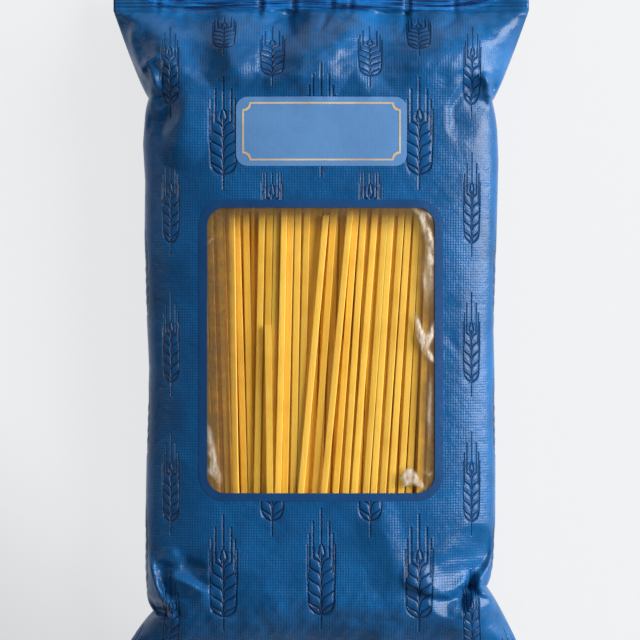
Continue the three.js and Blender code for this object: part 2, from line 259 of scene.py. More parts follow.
# %% Strokes for the sharp folds
# Each is a line, its height and its width.
STROKES = [
    # Top left corner and the side below its fold.
    ([(-89, 142), (-86.5, 130), (-82.8, 124.7), (-79, 120.5), (-78, 116), (-80, 111)], 1.5, 1.6),
    ([(-82.3, 126), (-80.9, 128.4), (-77.7, 121.5), (-75.5, 116)], 1.2, 1.1),
    ([(-80, 111), (-72, 113), (-64, 118)], -1.5, 2.4),
    ([(-62, 111), (-65, 101), (-73, 92)], 0.9, 3.2),
    ([(-80, 108), (-74, 100), (-73, 88)], -0.8, 2.6),
    # Top right corner and the dent below its fold.
    ([(77, 120.5), (78.5, 114), (80, 108)], 1.7, 1.3),
    ([(77, 120), (70, 114), (61, 106.5)], 1.1, 2.4),
    ([(84.5, 128), (80.5, 121), (79.5, 114)], -1.3, 1.5),
    ([(66, 121), (72, 112), (79, 105)], -0.9, 3.0),
    ([(88, 134), (84, 124), (83, 118)], 0.9, 1.6),
    # Bottom left: a pocket at the fold, with ridges that run to it.
    ([(-79.5, -104), (-76.3, -114.8), (-71.6, -121.5), (-70, -124.5)], 1.6, 1.5),
    ([(-78, -104.5), (-68.8, -100)], 0.8, 1.8),
    ([(-70, -110), (-63, -112), (-56, -115.3)], 1.3, 1.8),
    ([(-69, -119), (-62, -120), (-57, -117)], -1.2, 2.4),
    ([(-62, -104), (-55, -106)], -0.9, 3.0),
    ([(-79, -121), (-74, -125), (-70, -127)], -3.0, 1.9),
    ([(-78, -131), (-73, -128.5), (-69, -127)], 1.2, 1.5),
    # Bottom right: a bright facet between a valley and a ridge, and the crease of the fold.
    ([(45, -108), (52, -105.5), (60, -102), (73, -101)], -1.5, 3.2),
    ([(50.5, -113), (56, -117), (62, -116), (67.5, -111.5), (75, -103.5)], 1.7, 2.2),
    ([(77, -114), (73, -115.3), (66, -117), (62, -119.5)], -3.0, 1.7),
    ([(73.5, -115), (79.5, -118.6), (82, -124)], 1.3, 1.2),
    ([(64, -119.5), (61, -127), (60, -134)], 0.7, 2.4),
    # Soft runs over the slab.
    ([(26, -80), (32, -98), (37, -117)], 0.55, 4.5),
    ([(57, 3), (65, -6)], -0.5, 1.6),
    ([(62, 40), (66, 20), (64, -30)], 0.3, 4.0),
    ([(-63, 60), (-66, 30), (-64, -20)], -0.35, 5.0),
    ([(-70, -52), (-62, -58)], 0.35, 3.0),
    ([(68, -60), (61, -70)], 0.4, 3.0),
    # Pleats that run down from the top seal.
    ([(-15.6, 156), (-14.8, 149), (-12.5, 141)], -1.9, 1.5),
    ([(-31, 145), (-23, 148.5), (-15.6, 153)], -1.0, 1.4),
    ([(-52, 153), (-50, 143), (-44, 130)], 0.9, 4.0),
    ([(-29, 156), (-28.5, 150)], -1.6, 1.3),
    ([(3, 156), (2, 149), (-1, 143)], -1.9, 1.5),
    ([(16, 147), (10, 152), (6, 156)], -1.6, 1.6),
    ([(40.5, 156), (40, 150.5), (38.5, 143)], -2.1, 1.5),
    ([(22, 151), (19, 140), (21, 131)], 0.8, 3.5),
    ([(54, 152), (48, 144), (41, 138)], 0.7, 3.2),
    ([(-66, 154), (-64, 148)], -1.3, 1.5),
    ([(66, 155), (63, 150), (57, 146)], -0.8, 1.5),
]
print(len(STROKES), "strokes")

# %% The height of folds, facets and pleats


def from_segment(x, y, start, end):
    """How far places are from a segment, and how far along it they are, from 0 to 1."""
    (ax, ay), (bx, by) = start, end
    t = np.clip(((x - ax) * (bx - ax) + (y - ay) * (by - ay)) / math.dist(start, end) ** 2, 0, 1)
    return np.hypot(x - ax - t * (bx - ax), y - ay - t * (by - ay)), t


def stroke_height(x, y, strokes):
    """The sum of all strokes at the places x, y. Each is lower towards its two ends."""
    total = np.zeros_like(x)
    for line, height, width in strokes:
        lengths = [math.dist(a, b) for a, b in zip(line, line[1:])]
        whole, done = sum(lengths), 0.0
        nearest = np.full_like(x, 1e9)
        along = np.zeros_like(x)
        for start, end, length in zip(line, line[1:], lengths):
            away, t = from_segment(x, y, start, end)
            closer = away < nearest
            nearest = np.where(closer, away, nearest)
            along = np.where(closer, (done + t * length) / whole, along)
            done += length
        taper = 0.35 + 0.65 * np.sin(np.pi * np.clip(along, 0.02, 0.98))
        sharp = np.exp(-nearest / width)
        round_ = np.exp(-(nearest / (1.2 * width)) ** 2)
        total += height * taper * (0.55 * sharp + 0.45 * round_)
    return total


# A flank ends at about this many of its widths, and the ridge is rounded over this part of one.
FLANK_END = 1.2
RIDGE_ROUND = 0.3
# Distances that differ by less than this are the same.
TINY = 1e-6


def broad_height(x, y, folds):
    """Tents along lines, rounded at the ridge. Each flank falls evenly over its own width."""
    total = np.zeros_like(x)
    for line, height, left, right in folds:
        nearest = np.full_like(x, 1e9)
        hand = np.zeros_like(x)
        for (ax, ay), (bx, by) in zip(line, line[1:]):
            away = from_segment(x, y, (ax, ay), (bx, by))[0] + TINY
            # Which hand the place is on: 1 straight to the left of the line, and -1 to the right.
            turn = ((bx - ax) * (y - ay) - (by - ay) * (x - ax)) / math.dist((ax, ay), (bx, by)) / away
            same = (np.abs(away - nearest) < TINY) & (np.abs(turn) > np.abs(hand))
            hand = np.where((away < nearest - TINY) | same, turn, hand)
            nearest = np.minimum(nearest, away)
        width = (left + right) / 2 + np.clip(hand, -1, 1) * (left - right) / 2
        total += height * np.maximum(0, FLANK_END - np.hypot(nearest / width, RIDGE_ROUND))
    return total


def facets(x, y, pitch, count, seed):
    """Straight folds at seeded angles: a sum of triangle waves, about -1 to 1."""
    draw = np.random.default_rng(seed)
    total = np.zeros_like(x)
    for _ in range(count):
        angle = draw.uniform(0, math.pi)
        wave = pitch * draw.uniform(0.7, 1.6)
        swing = draw.uniform(3, 7)
        along_fold = x * math.sin(angle) - y * math.cos(angle)
        bend = 0.25 * np.sin(along_fold / (wave * swing) + draw.uniform(0, 6))
        phase = (x * math.cos(angle) + y * math.sin(angle)) / wave + bend + draw.uniform(0, 1)
        total += (np.abs(phase % 1.0 - 0.5) * 4 - 1) * draw.uniform(0.5, 1)
    return total / math.sqrt(count)


def pleats(x, y, seed):
    """Upright waves that spread down from a seal and die out on the slab."""
    draw = np.random.default_rng(seed)
    reach = np.exp(-(SEAL_START - np.abs(y)) / 13) * (np.abs(y) < SEAL_START + 1)
    total = np.zeros_like(x)
    for _ in range(5):
        wave = draw.uniform(11, 34)
        fan = x * (1 + 0.004 * (SEAL_START - np.abs(y)))
        total += np.abs(np.sin(fan / wave * math.pi + draw.uniform(0, 6))) - 0.6
    return total * reach


print("facets and pleats are drawn with fixed seeds")

# %% Add the creases up
# The label's patch of the front stays calm: half its width and length, and its middle.
CALM_HALF_X = 37.0
CALM_HALF_Y = 13.0
CALM_MIDDLE_Y = 96.0
CALM_FADE = 13.0
# Right at the side edge the creases fade, so that the outline stays.
EDGE_FADE_START = 0.955
EDGE_FADE = 0.045


def sealed_share(y):
    return smooth((np.abs(y) - SEAL_START + 2) / 3)


def front_relief(x, y):
    """How far the creases lift the front of the film."""
    end = smooth((np.abs(y) - 100) / 30)
    sealed = sealed_share(y)
    from_label = np.maximum(np.abs(x) - CALM_HALF_X, np.abs(y - CALM_MIDDLE_Y) - CALM_HALF_Y)
    calm = 0.15 + 0.85 * smooth(from_label / CALM_FADE)
    relief = 1.1 * stroke_height(x, y, STROKES) * (1 - 0.75 * sealed)
    relief += 1.15 * broad_height(x, y, BROAD_FOLDS) * (1 - 0.9 * sealed) * calm
    relief += 0.48 * facets(x, y, pitch=15, count=5, seed=3) * end * (1 - 0.7 * sealed)
    relief += 0.20 * facets(x, y, pitch=6, count=5, seed=4) * end * (1 - 0.5 * sealed)
    relief += 0.06 * facets(x, y, pitch=30, count=5, seed=5)
    relief += 0.50 * pleats(x, y, seed=6) * (1 - 0.6 * sealed)
    relief += 0.22 * np.sin(x / 17 + 1.3) * np.sin(y / 23 + 0.4)
    return relief


def crease_room(across):
    """The part of the creases that is left at a place across the front."""
    return 1 - 0.8 * smooth((across - EDGE_FADE_START) / EDGE_FADE)


def front_height(x, y):
    """The height of the creased front over x, y, for the parts that lie on it."""
    level, across = front_level(x, y)
    return level + front_relief(x, y) * crease_room(across)


centre = np.zeros(1)
print("the front's middle is at", round(float(front_height(centre, centre)[0]), 1), "mm")

# %% [markdown]
# ## The web of film
# The web starts as a flat grid: its columns run round the packet from the fin and back to it, its
# rows lie across. The columns are closer in front and the rows are closer at the ends, where the
# creases and the crimped ribs are. The grid is then wrapped by moving each point to its place in
# the form above, as the machine's forming collar does with the real web.

# %% Wrap the web round the bundle
FRONT_COLUMNS = 180
BACK_COLUMNS = 70
BODY_ROWS = 170
SLOPE_ROWS = 60
SEAL_ROWS = 30
# Where the rows get closer, since the creases are finer from there on.
SLOPE_START = 113.0

row_places = np.concatenate([
    np.linspace(-SEAL_END, -SEAL_START, SEAL_ROWS + 1)[:-1],
    np.linspace(-SEAL_START, -SLOPE_START, SLOPE_ROWS + 1)[:-1],
    np.linspace(-SLOPE_START, SLOPE_START, BODY_ROWS + 1)[:-1],
    np.linspace(SLOPE_START, SEAL_START, SLOPE_ROWS + 1)[:-1],
    np.linspace(SEAL_START, SEAL_END, SEAL_ROWS + 1),
])


def flat_grid(name, columns, rows):
    """A flat grid, and the places of its points from -1 to 1."""
    deselect_all()
    bpy.ops.mesh.primitive_grid_add(x_subdivisions=columns, y_subdivisions=rows, size=2)
    grid = bpy.context.object
    grid.name = name
    return grid, read_points(grid) * MM


columns = FRONT_COLUMNS + BACK_COLUMNS
film, flat_web = flat_grid("film", columns, len(row_places) - 1)
column = np.rint((flat_web[:, 0] + 1) / 2 * columns).astype(int)
row = np.rint((flat_web[:, 1] + 1) / 2 * (len(row_places) - 1)).astype(int)

half_back = BACK_COLUMNS // 2
half_front = FRONT_COLUMNS // 2
from_left = np.where(column <= half_front + half_back, column, columns - column)
front = from_left >= half_back
share = np.where(front, 1 - (from_left - half_back) / half_front, from_left / half_back)
side = np.where(column <= half_front + half_back, -1.0, 1.0)
y = row_places[row]
x, level, part_across = film_place(share, y, side, front)


def back_relief(x, y):
    """The back lies on the floor, so only its ends are creased."""
    end = smooth((np.abs(y) - 122) / 18)
    relief = 0.8 * facets(x, y, pitch=16, count=5, seed=13)
    relief += 0.25 * facets(x, y, pitch=7, count=4, seed=14)
    return (relief * end + 0.8 * pleats(x, y, seed=15)) * (1 - 0.8 * sealed_share(y))


relief = np.where(front, front_relief(x, y), back_relief(x, y)) * crease_room(part_across)
z = level + relief
print("the web has", len(film.data.vertices), "points, spaced about",
      round(2 * BODY_HALF / FRONT_COLUMNS, 2), "mm across the front")

# %% [markdown]
# ## The crimped seals
# Hot ribbed jaws press the flat tube shut at both ends. Their ribs lie across the packet. Where the
# film was a little too wide, the jaws catch small upright pleats. The end isn't stiff, so it flutters,
# and its corners twist. A displacement texture could do it, but here the ribs have to end along an
# uneven line and fade in places, so their height is worked out at each point like the creases.

# %% Crimp the seals
RIB_PITCH = 1.75
RIB_HEIGHT = 0.36
# Pleats that are caught in the top seal: their places across it, and depths.
SEAL_PLEATS = [(-77, 0.5), (-28.5, 1.1), (-12.8, 0.9), (5.1, 0.7), (14.0, 0.6), (40.7, 1.1), (63, 0.5)]

caught = np.zeros_like(x)
for place, depth in SEAL_PLEATS:
    # In the bottom seal they are mirrored and closer together.
    apart = x - np.where(y > 0, place, 8 - 0.8 * place)
    caught += depth * (0.6 * np.exp(-((apart - 2.2) / 1.3) ** 2) - 1.3 * np.exp(-(apart / 1.1) ** 2))
caught *= smooth((np.abs(y) - SEAL_START + 5) / 5) * np.where(front, 1, 0)
# The crimp's edge runs unevenly, and the ribs are pressed harder in some places than in others.
edge_shift = 0.9 * np.sin(x / 9.3 + 0.4) * np.sin(x / 21 + 2.0) - 1.6 * smooth((np.abs(x) - 60) / 35)
ribbed = smooth((np.abs(y) - SEAL_START - edge_shift) / 1.2)
pressing = 0.6 + 0.4 * np.sin(x / 6.1 + np.abs(y) / 3) * np.sin(x / 14.5 + 1.1)
ribs = RIB_HEIGHT * np.sin((np.abs(y) - SEAL_START) / RIB_PITCH * 2 * math.pi) * ribbed * pressing
# Just outside the crimp the film is gathered in small knots.
knots = 0.5 + 0.5 * np.sin(x / 4.1) * np.sin(x / 2.7)
ribs += 0.9 * (1 - ribbed) * smooth((np.abs(y) - 152.5 - edge_shift) / 1.5) * knots
flutter = 0.9 * np.sin(x / 31 + 0.7) * smooth((np.abs(y) - 138) / 16)
twist = np.where(y > 0, 1.5, -1.2) * smooth((np.abs(x) - 72) / 26)
flutter += twist * smooth((np.abs(y) - 130) / 25) * side
z = np.maximum(z + ribs + flutter + caught, BACK_LIFT)
write_points(film, np.stack([x, y, z], axis=1))
print("ribs every", RIB_PITCH, "mm, and", len(SEAL_PLEATS), "pleats caught in each seal")

# %% [markdown]
# ## The print runs with the film
# Woven texture and ornament are pressed into the film before it is wrapped, so they follow the
# web and look shorter where it slopes away. A pattern on Object coordinates would run straight
# through the packet instead. So the web's own lengths, measured along its rows and columns from the
# middle of the front, go into a UV map. It spans 400 mm, so that it stays between 0 and 1.

# %% Measure the web into a UV map
UV_SPAN = 400.0


def web_map(piece, row, column, places):
    """Arc lengths across and along a wrapped grid, as its UV map."""
    rows, cols = row.max() + 1, column.max() + 1
    grid = np.empty((rows, cols, 3))
    grid[row, column] = places
    across = np.zeros((rows, cols))
    across[:, 1:] = np.cumsum(np.linalg.norm(np.diff(grid, axis=1), axis=2), axis=1)
    across -= across[:, [cols // 2]]
    along = np.zeros((rows, cols))
    along[1:] = np.cumsum(np.linalg.norm(np.diff(grid, axis=0), axis=2), axis=0)
    along -= along[[rows // 2]]
    layer = piece.data.uv_layers[0]
    layer.name = "web"
    corner = np.empty(len(piece.data.loops), dtype=int)
    piece.data.loops.foreach_get("vertex_index", corner)
    uv = np.stack([across[row, column], along[row, column]], axis=1)[corner] / UV_SPAN + 0.5
    layer.data.foreach_set("uv", uv.ravel())
    return across, along


smooth_form = np.stack([x, y, level], axis=1)
across, along = web_map(film, row, column, smooth_form)
print("the web is", round(float(across.max() - across.min())), "mm round and",
      round(float(along.max() - along.min())), "mm long")

# %% [markdown]
# ## The window
# The window is a hole in the printed layer with a clear film behind it. A boolean cut would leave
# thin faces in the creased front. Here the grid's faces inside the outline are deleted and the new
# edge is moved onto the outline, so that the corner is round and not stepped. The rim is then
# extruded down and out into a plain inner wall, which closes the film into one solid skin.

# %% Cut the window
WINDOW = {"x": 0.0, "y": -5.1, "width": 105.6, "height": 132.2, "radius": 8.4}
TUCK = 1.3
# Faces that are lower than this are on the packet's back, which isn't cut.
FRONT_ABOVE = 30.0


def outline_distance(x, y, shape, grow=0.0):
    """Signed distance from a rounded rectangle, and the direction away from it."""
    radius = shape["radius"] + grow
    px, py = x - shape["x"], y - shape["y"]
    qx = np.abs(px) - (shape["width"] / 2 + grow - radius)
    qy = np.abs(py) - (shape["height"] / 2 + grow - radius)
    outside = np.hypot(np.maximum(qx, 0), np.maximum(qy, 0))
    distance = outside + np.minimum(np.maximum(qx, qy), 0) - radius
    corner = (qx > 0) & (qy > 0)
    gx = np.where(corner, qx / np.maximum(outside, 1e-9), (qx >= qy) * 1.0) * np.sign(px)
    gy = np.where(corner, qy / np.maximum(outside, 1e-9), (qx < qy) * 1.0) * np.sign(py)
    return distance, gx, gy


def cut_to_outline(piece, shape, grow, keep_inside, height_at):
    """Deletes the faces on one side of the outline and moves the new edge onto it."""
    mesh = bmesh.new()
    mesh.from_mesh(piece.data)
    faces = list(mesh.faces)
    middles = np.array([face.calc_center_median() for face in faces]) / MM
    off = (outline_distance(middles[:, 0], middles[:, 1], shape, grow)[0] > 0) == keep_inside
    off &= keep_inside | (middles[:, 2] > FRONT_ABOVE)
    inner = [face for face, goes in zip(faces, off) if goes]
    rim_before = {vert for vert in mesh.verts if vert.is_boundary}
    bmesh.ops.delete(mesh, geom=inner, context="FACES")
    rim = [vert for vert in mesh.verts if vert.is_boundary and (keep_inside or vert not in rim_before)]
    px, py = np.array([vert.co.xy for vert in rim]).T / MM
    distance, gx, gy = outline_distance(px, py, shape, grow)
    px, py = px - distance * gx, py - distance * gy
    for vert, place in zip(rim, np.stack([px, py, height_at(px, py)], axis=1) * MM):
        vert.co = place
    mesh.to_mesh(piece.data)
    mesh.free()
    return len(rim)


rim_points = cut_to_outline(film, WINDOW, TUCK, False, front_height)
print("the window's rim has", rim_points, "points")

# %% Close the fin, the seals' cut edges and the inside
# Each step of the inner wall: half its width and length, and its height or, where that is negative,
# how far it lies under the front.
WALL_STEPS = [(None, None, -0.5), (59, 88, -1.6), (77, 117, 22), (62, 114, 3.5)]

select_only(film)
bpy.ops.object.mode_set(mode="EDIT")
bpy.ops.mesh.select_all(action="SELECT")
bpy.ops.mesh.remove_doubles(threshold=0.00002)
bpy.ops.object.mode_set(mode="OBJECT")

mesh = bmesh.new()
mesh.from_mesh(film.data)
for end in (-1, 1):
    cut = [edge for edge in mesh.edges if edge.is_boundary
           and all(vert.co.y * end > (SEAL_END - 0.1) * MM for vert in edge.verts)]
    bmesh.ops.contextual_create(mesh, geom=cut)
rim = [edge for edge in mesh.edges if edge.is_boundary]
for half_x, half_y, height in WALL_STEPS:
    grown = bmesh.ops.extrude_edge_only(mesh, edges=rim)["geom"]
    rim = [item for item in grown if isinstance(item, bmesh.types.BMEdge) and item.is_boundary]
    verts = list({vert for edge in rim for vert in edge.verts})
    places = np.array([vert.co for vert in verts]) / MM
    if half_x:
        places[:, 0] *= half_x / np.abs(places[:, 0]).max()
        places[:, 1] -= (places[:, 1].max() + places[:, 1].min()) / 2
        places[:, 1] *= half_y / np.abs(places[:, 1]).max()
        places[:, 2] = height if height > 0 else front_height(places[:, 0], places[:, 1]) + height
    else:
        places[:, 2] += height
    for vert, place in zip(verts, places * MM):
        vert.co = place
bmesh.ops.contextual_create(mesh, geom=rim)
bmesh.ops.recalc_face_normals(mesh, faces=mesh.faces)
open_edges = sum(1 for edge in mesh.edges if not edge.is_manifold)
mesh.to_mesh(film.data)
mesh.free()
film.data.shade_smooth()
print("open edges left in the film:", open_edges, "and faces:", len(film.data.polygons))

# %% [markdown]
# ## A short way to write materials
# Each finish is a tree of nodes. It could be wired node by node, but written out that is long. So
# a small recipe class adds one node in one line and passes its output on. A number or colour that
# is the same all over is set on the shader itself.

# %% A recipe for node materials


class Recipe:
    """One material, built node by node. Every step returns the socket that it made."""

    def __init__(self, name):
        self.material = bpy.data.materials.new(name)
        self.material.use_nodes = True
        self.tree = self.material.node_tree
        self.tree.nodes.clear()
        self.output = self.tree.nodes.new("ShaderNodeOutputMaterial")

    def node(self, kind, inputs=(), **settings):
        made = self.tree.nodes.new(kind)
        for key, value in settings.items():
            setattr(made, key, value)
        for key, value in dict(inputs).items():
            if isinstance(value, bpy.types.NodeSocket):
                self.tree.links.new(value, made.inputs[key])
            else:
                made.inputs[key].default_value = value
        return made

    def sum(self, operation, *values):
        return self.node("ShaderNodeMath", dict(enumerate(values)), operation=operation).outputs[0]

    def fade(self, value, low, high, start=0.0, end=1.0):
        """Goes smoothly from start to end as the value goes from low to high."""
        made = self.node("ShaderNodeMapRange", {"Value": value, "From Min": low, "From Max": high,
                                                "To Min": start, "To Max": end})
        made.interpolation_type = "SMOOTHSTEP"
        return made.outputs["Result"]

    def noise(self, vector, scale, detail=3.0, roughness=0.55):
        return self.node("ShaderNodeTexNoise", {"Vector": vector, "Scale": scale, "Detail": detail,
                                                "Roughness": roughness}).outputs["Fac"]

    def blend(self, share, first, second):
        """Goes from the first colour to the second as the share goes from 0 to 1."""
        made = self.node("ShaderNodeMix", data_type="RGBA")
        for key, value in ((0, share), (6, first), (7, second)):
            if isinstance(value, bpy.types.NodeSocket):
                self.tree.links.new(value, made.inputs[key])
            else:
                made.inputs[key].default_value = value
        return made.outputs[2]

    def bump(self, height):
        """A relief whose height is in millimetres."""
        return self.node("ShaderNodeBump", {"Height": height, "Distance": MM}).outputs["Normal"]

    def surface(self, **inputs):
        shader = self.node("ShaderNodeBsdfPrincipled", {key.replace("_", " "): value
                                                        for key, value in inputs.items()})
        self.tree.links.new(shader.outputs[0], self.output.inputs["Surface"])
        return shader


def web_places(recipe):
    """The film's own millimetres, across and along, from its UV map."""
    uv = recipe.node("ShaderNodeUVMap", uv_map="web").outputs["UV"]
    parts = recipe.node("ShaderNodeSeparateXYZ", {0: uv}).outputs
    across = recipe.sum("MULTIPLY_ADD", parts[0], UV_SPAN, -UV_SPAN / 2)
    along = recipe.sum("MULTIPLY_ADD", parts[1], UV_SPAN, -UV_SPAN / 2)
    place = recipe.node("ShaderNodeCombineXYZ", {0: across, 1: along}).outputs[0]
    return across, along, place


print("recipe ready")

# %% [markdown]
# ## Pressed wheat ears and woven texture
# The printed film of such packets is often pressed with a canvas texture and a repeat of wheat
# ears, a common ornament for flour and pasta. Both could be painted as an image, which would blur
# close up. Here they are worked out: the distance from each point to the nearest line of an ear
# gives a groove of any sharpness. The lines are half a millimetre wide, finer than the mesh, so
# their sharp edges come from the material, and their larger forms are pressed into the mesh too.

# %% Where the wheat ears stand
EAR_COLUMN = 22.7
EAR_ROW = 64.8
EAR_START = -125.2
# A foot this far up leaves the ear out.
LEFT_OUT = 500.0
# Where the repeat is drawn otherwise: the column, from where to where along the web, the ear's foot,
# its length as a part of the usual one, and how much narrower it is.
SPECIAL_EARS = (
    (0, -200.0, -70.0, -135.8, 1.10, 0.0),
    (2, -200.0, -70.0, -137.6, 1.08, 0.0),
    (1, -104.0, -60.0, -91.0, 1.0, 0.15),
    (1, -200.0, -104.0, LEFT_OUT, 1.0, 0.0),
    (1, 55.0, 77.0, 30.2, 1.12, 0.35),
    (1, 77.0, 92.0, LEFT_OUT, 1.0, 0.0),
    (0, 62.0, 200.0, 75.5, 1.0, 0.0),
    (1, 92.0, 200.0, 117.4, 0.68, 0.16),
    (2, 122.5, 200.0, 132.4, 0.62, 0.16),
)
# The outer column stands further out, and is smaller.
OUTER_SHIFT = 2.5
OUTER_SIZE = 0.92
OUTER_NARROWER = 1.5
OUTER_FOOT = 1.8


def ear_place(recipe, across, along):
    """The place inside the nearest ear: millimetres from its stem and up from its foot."""
    s = recipe.sum
    column = s("ROUND", s("DIVIDE", across, EAR_COLUMN))
    outer = s("COMPARE", s("ABSOLUTE", column), 3.0, 0.1)
    outwards = s("MULTIPLY", outer, s("SIGN", across))
    middle = s("MULTIPLY_ADD", outwards, OUTER_SHIFT, s("MULTIPLY", column, EAR_COLUMN))
    from_stem = s("ABSOLUTE", s("SUBTRACT", across, middle))
    from_stem = s("MULTIPLY", from_stem, s("MULTIPLY_ADD", outer, OUTER_NARROWER - 1, 1.0))
    column = s("ABSOLUTE", column)
    shifted = s("SUBTRACT", along, s("MULTIPLY_ADD", s("MODULO", column, 2.0), EAR_ROW / 2, EAR_START))
    up = s("SUBTRACT", shifted, s("MULTIPLY", s("FLOOR", s("DIVIDE", shifted, EAR_ROW)), EAR_ROW))
    up = s("MULTIPLY_ADD", outer, s("SUBTRACT", s("MULTIPLY_ADD", up, 1 / OUTER_SIZE, -OUTER_FOOT), up), up)
    # Ears that have no room at the outer edges are left out.
    ends = s("MULTIPLY", s("GREATER_THAN", column, 3.5), s("GREATER_THAN", s("SUBTRACT", along, up), 60.0))
    up = s("SUBTRACT", up, s("MULTIPLY", ends, LEFT_OUT))
    for number, low, high, foot, size, narrower in SPECIAL_EARS:
        here = s("MULTIPLY", s("GREATER_THAN", along, low), s("LESS_THAN", along, high))
        here = s("MULTIPLY", here, s("COMPARE", column, float(number), 0.1))
        small = s("DIVIDE", s("SUBTRACT", along, foot), size)
        up = s("MULTIPLY_ADD", here, s("SUBTRACT", small, up), up)
        from_stem = s("MULTIPLY", from_stem, s("MULTIPLY_ADD", here, narrower, 1.0))
    return from_stem, up


print("wheat ears every", EAR_COLUMN, "by", EAR_ROW, "mm")

# %% The distance to the lines of a wheat ear
# The drawing of an ear, in millimetres up from the stem's foot and out from the stem.
STEM_TOP = 32.5
TIP_AWN = (37.2, 52.0)
# The half width of each pair of awns, and its span from the stem's foot up.
AWNS = ((6.35, 24.0, 37.0), (5.45, 26.0, 41.5), (3.7, 32.0, 46.5))
GRAIN_FOOT = 6.4
GRAIN_STEP = 5.05
GRAIN_HALF = 5.9
# Each grain's upper edge drops steeply beside the stem and then rises gently outwards.
CURVE_HALF = 5.8
CURVE_STEEP = 0.09
CURVE_FIRST = 3.6
CURVE_REST = 2.6
CURVE_SLOPE = 0.45
FOOT_TOP = 13.4
FOOT_TALL = 6.2
SIDES = (13.0, 25.0)
DROP = (31.4, 37.2)
# The whole ear as a soft block: its half width, its middle and its half length.
EAR_BODY = (6.4, 21.5, 15.0)


def wheat_lines(recipe, across, along):
    """Distance to the nearest line, and how much a place is inside the grains."""
    s = recipe.sum
    from_stem, up = ear_place(recipe, across, along)

    def past_span(low, high):
        return s("MAXIMUM", s("SUBTRACT", low, up), s("SUBTRACT", up, high))

    def upright(half, low, high):
        return s("MAXIMUM", s("ABSOLUTE", s("SUBTRACT", from_stem, half)), past_span(low, high))

    lines = s("MINIMUM", upright(0.0, 0.0, STEM_TOP), upright(0.0, *TIP_AWN))
    for awn in AWNS:
        lines = s("MINIMUM", lines, upright(*awn))
    # The grains' upper edges are one curve, repeated upwards, and the higher ones are shorter.
    part = s("DIVIDE", from_stem, CURVE_HALF)
    steep = s("EXPONENT", s("DIVIDE", part, -CURVE_STEEP))
    curve = s("ADD", s("MULTIPLY_ADD", steep, -CURVE_FIRST, CURVE_FIRST),
              s("MULTIPLY", s("POWER", part, 1.5), CURVE_REST))
    slope = s("MULTIPLY_ADD", steep, CURVE_FIRST / CURVE_STEEP / CURVE_HALF, CURVE_SLOPE)
    square = s("SQRT", s("MULTIPLY_ADD", slope, slope, 1.0))
    count = s("DIVIDE", s("SUBTRACT", s("SUBTRACT", up, GRAIN_FOOT), curve), GRAIN_STEP)
    nearest = s("MINIMUM", s("MAXIMUM", s("ROUND", count), 0.0), 4.0)
    away = s("DIVIDE", s("MULTIPLY", s("ABSOLUTE", s("SUBTRACT", count, nearest)), GRAIN_STEP), square)
    reach = s("SUBTRACT", GRAIN_HALF, s("MULTIPLY", s("POWER", nearest, 2.6), 0.06))
    lines = s("MINIMUM", lines, s("MAXIMUM", away, s("SUBTRACT", from_stem, reach)))

    # The lowest pair's rounded foot, the ear's long sides and the drop at its top.
    round_x = s("POWER", s("DIVIDE", from_stem, GRAIN_HALF), 2.0)
    round_y = s("POWER", s("ABSOLUTE", s("DIVIDE", s("SUBTRACT", up, FOOT_TOP), FOOT_TALL)), 2.0)
    foot = s("ABSOLUTE", s("SUBTRACT", s("SQRT", s("ADD", round_x, round_y)), 1.0))
    foot = s("MAXIMUM", s("MULTIPLY", foot, CURVE_HALF), s("SUBTRACT", up, FOOT_TOP))
    sides = s("ABSOLUTE", s("SUBTRACT", from_stem, recipe.fade(up, 13.0, 26.0, GRAIN_HALF, 6.35)))
    sides = s("MAXIMUM", sides, past_span(*SIDES))
    narrowing = s("MULTIPLY", s("SQRT", s("MAXIMUM", s("SUBTRACT", DROP[1], up), 0.0)), 0.78)
    widening = s("MULTIPLY", s("SQRT", s("MAXIMUM", s("SUBTRACT", up, DROP[0]), 0.0)), 1.15)
    drop_half = s("MINIMUM", narrowing, widening)
    top = s("MULTIPLY", s("ABSOLUTE", s("SUBTRACT", from_stem, drop_half)), 0.9)
    top = s("MAXIMUM", top, past_span(DROP[0] - 0.1, DROP[1] + 0.2))
    lines = s("MINIMUM", lines, s("MINIMUM", s("MINIMUM", foot, sides), top))

    half, middle, tall = EAR_BODY
    out = s("POWER", s("DIVIDE", from_stem, half), 4.0)
    away = s("POWER", s("ABSOLUTE", s("DIVIDE", s("SUBTRACT", up, middle), tall)), 4.0)
    inside = recipe.fade(s("ADD", out, away), 0.90, 1.10, 1.0, 0.0)
    return lines, inside


print("an ear has", len(AWNS), "pairs of awns, and a grain every", GRAIN_STEP, "mm")

# %% The weave
WEAVE_PITCH = 1.25


def weave(recipe, across, along):
    """Crossed threads, 0 in the holes and 1 on the threads."""
    s = recipe.sum
    warp = s("ABSOLUTE", s("SINE", s("MULTIPLY", across, math.pi / WEAVE_PITCH)))
    weft = s("ABSOLUTE", s("SINE", s("MULTIPLY", along, math.pi / WEAVE_PITCH)))
    # Near the top seal only the upright threads are left.
    weft = s("MULTIPLY_ADD", s("SUBTRACT", weft, 0.6), recipe.fade(along, 108.0, 128.0, 1.0, 0.25), 0.6)
    return s("MULTIPLY", s("ADD", warp, weft), 0.5)


print("a thread every", WEAVE_PITCH, "mm")

# %% [markdown]
# ## Pressing the ears into the mesh
# The die that presses the ears bends the film, so their larger forms belong to the mesh: the ear's
# body is sunk, each grain swells between its lines, and the awns are shallow grooves. The functions
# above are written as steps of a recipe. A second recipe that works the same steps out on arrays
# gives the same ears at every point of the mesh, where a Displace modifier would need an image. The
# points are moved inwards along their normals.

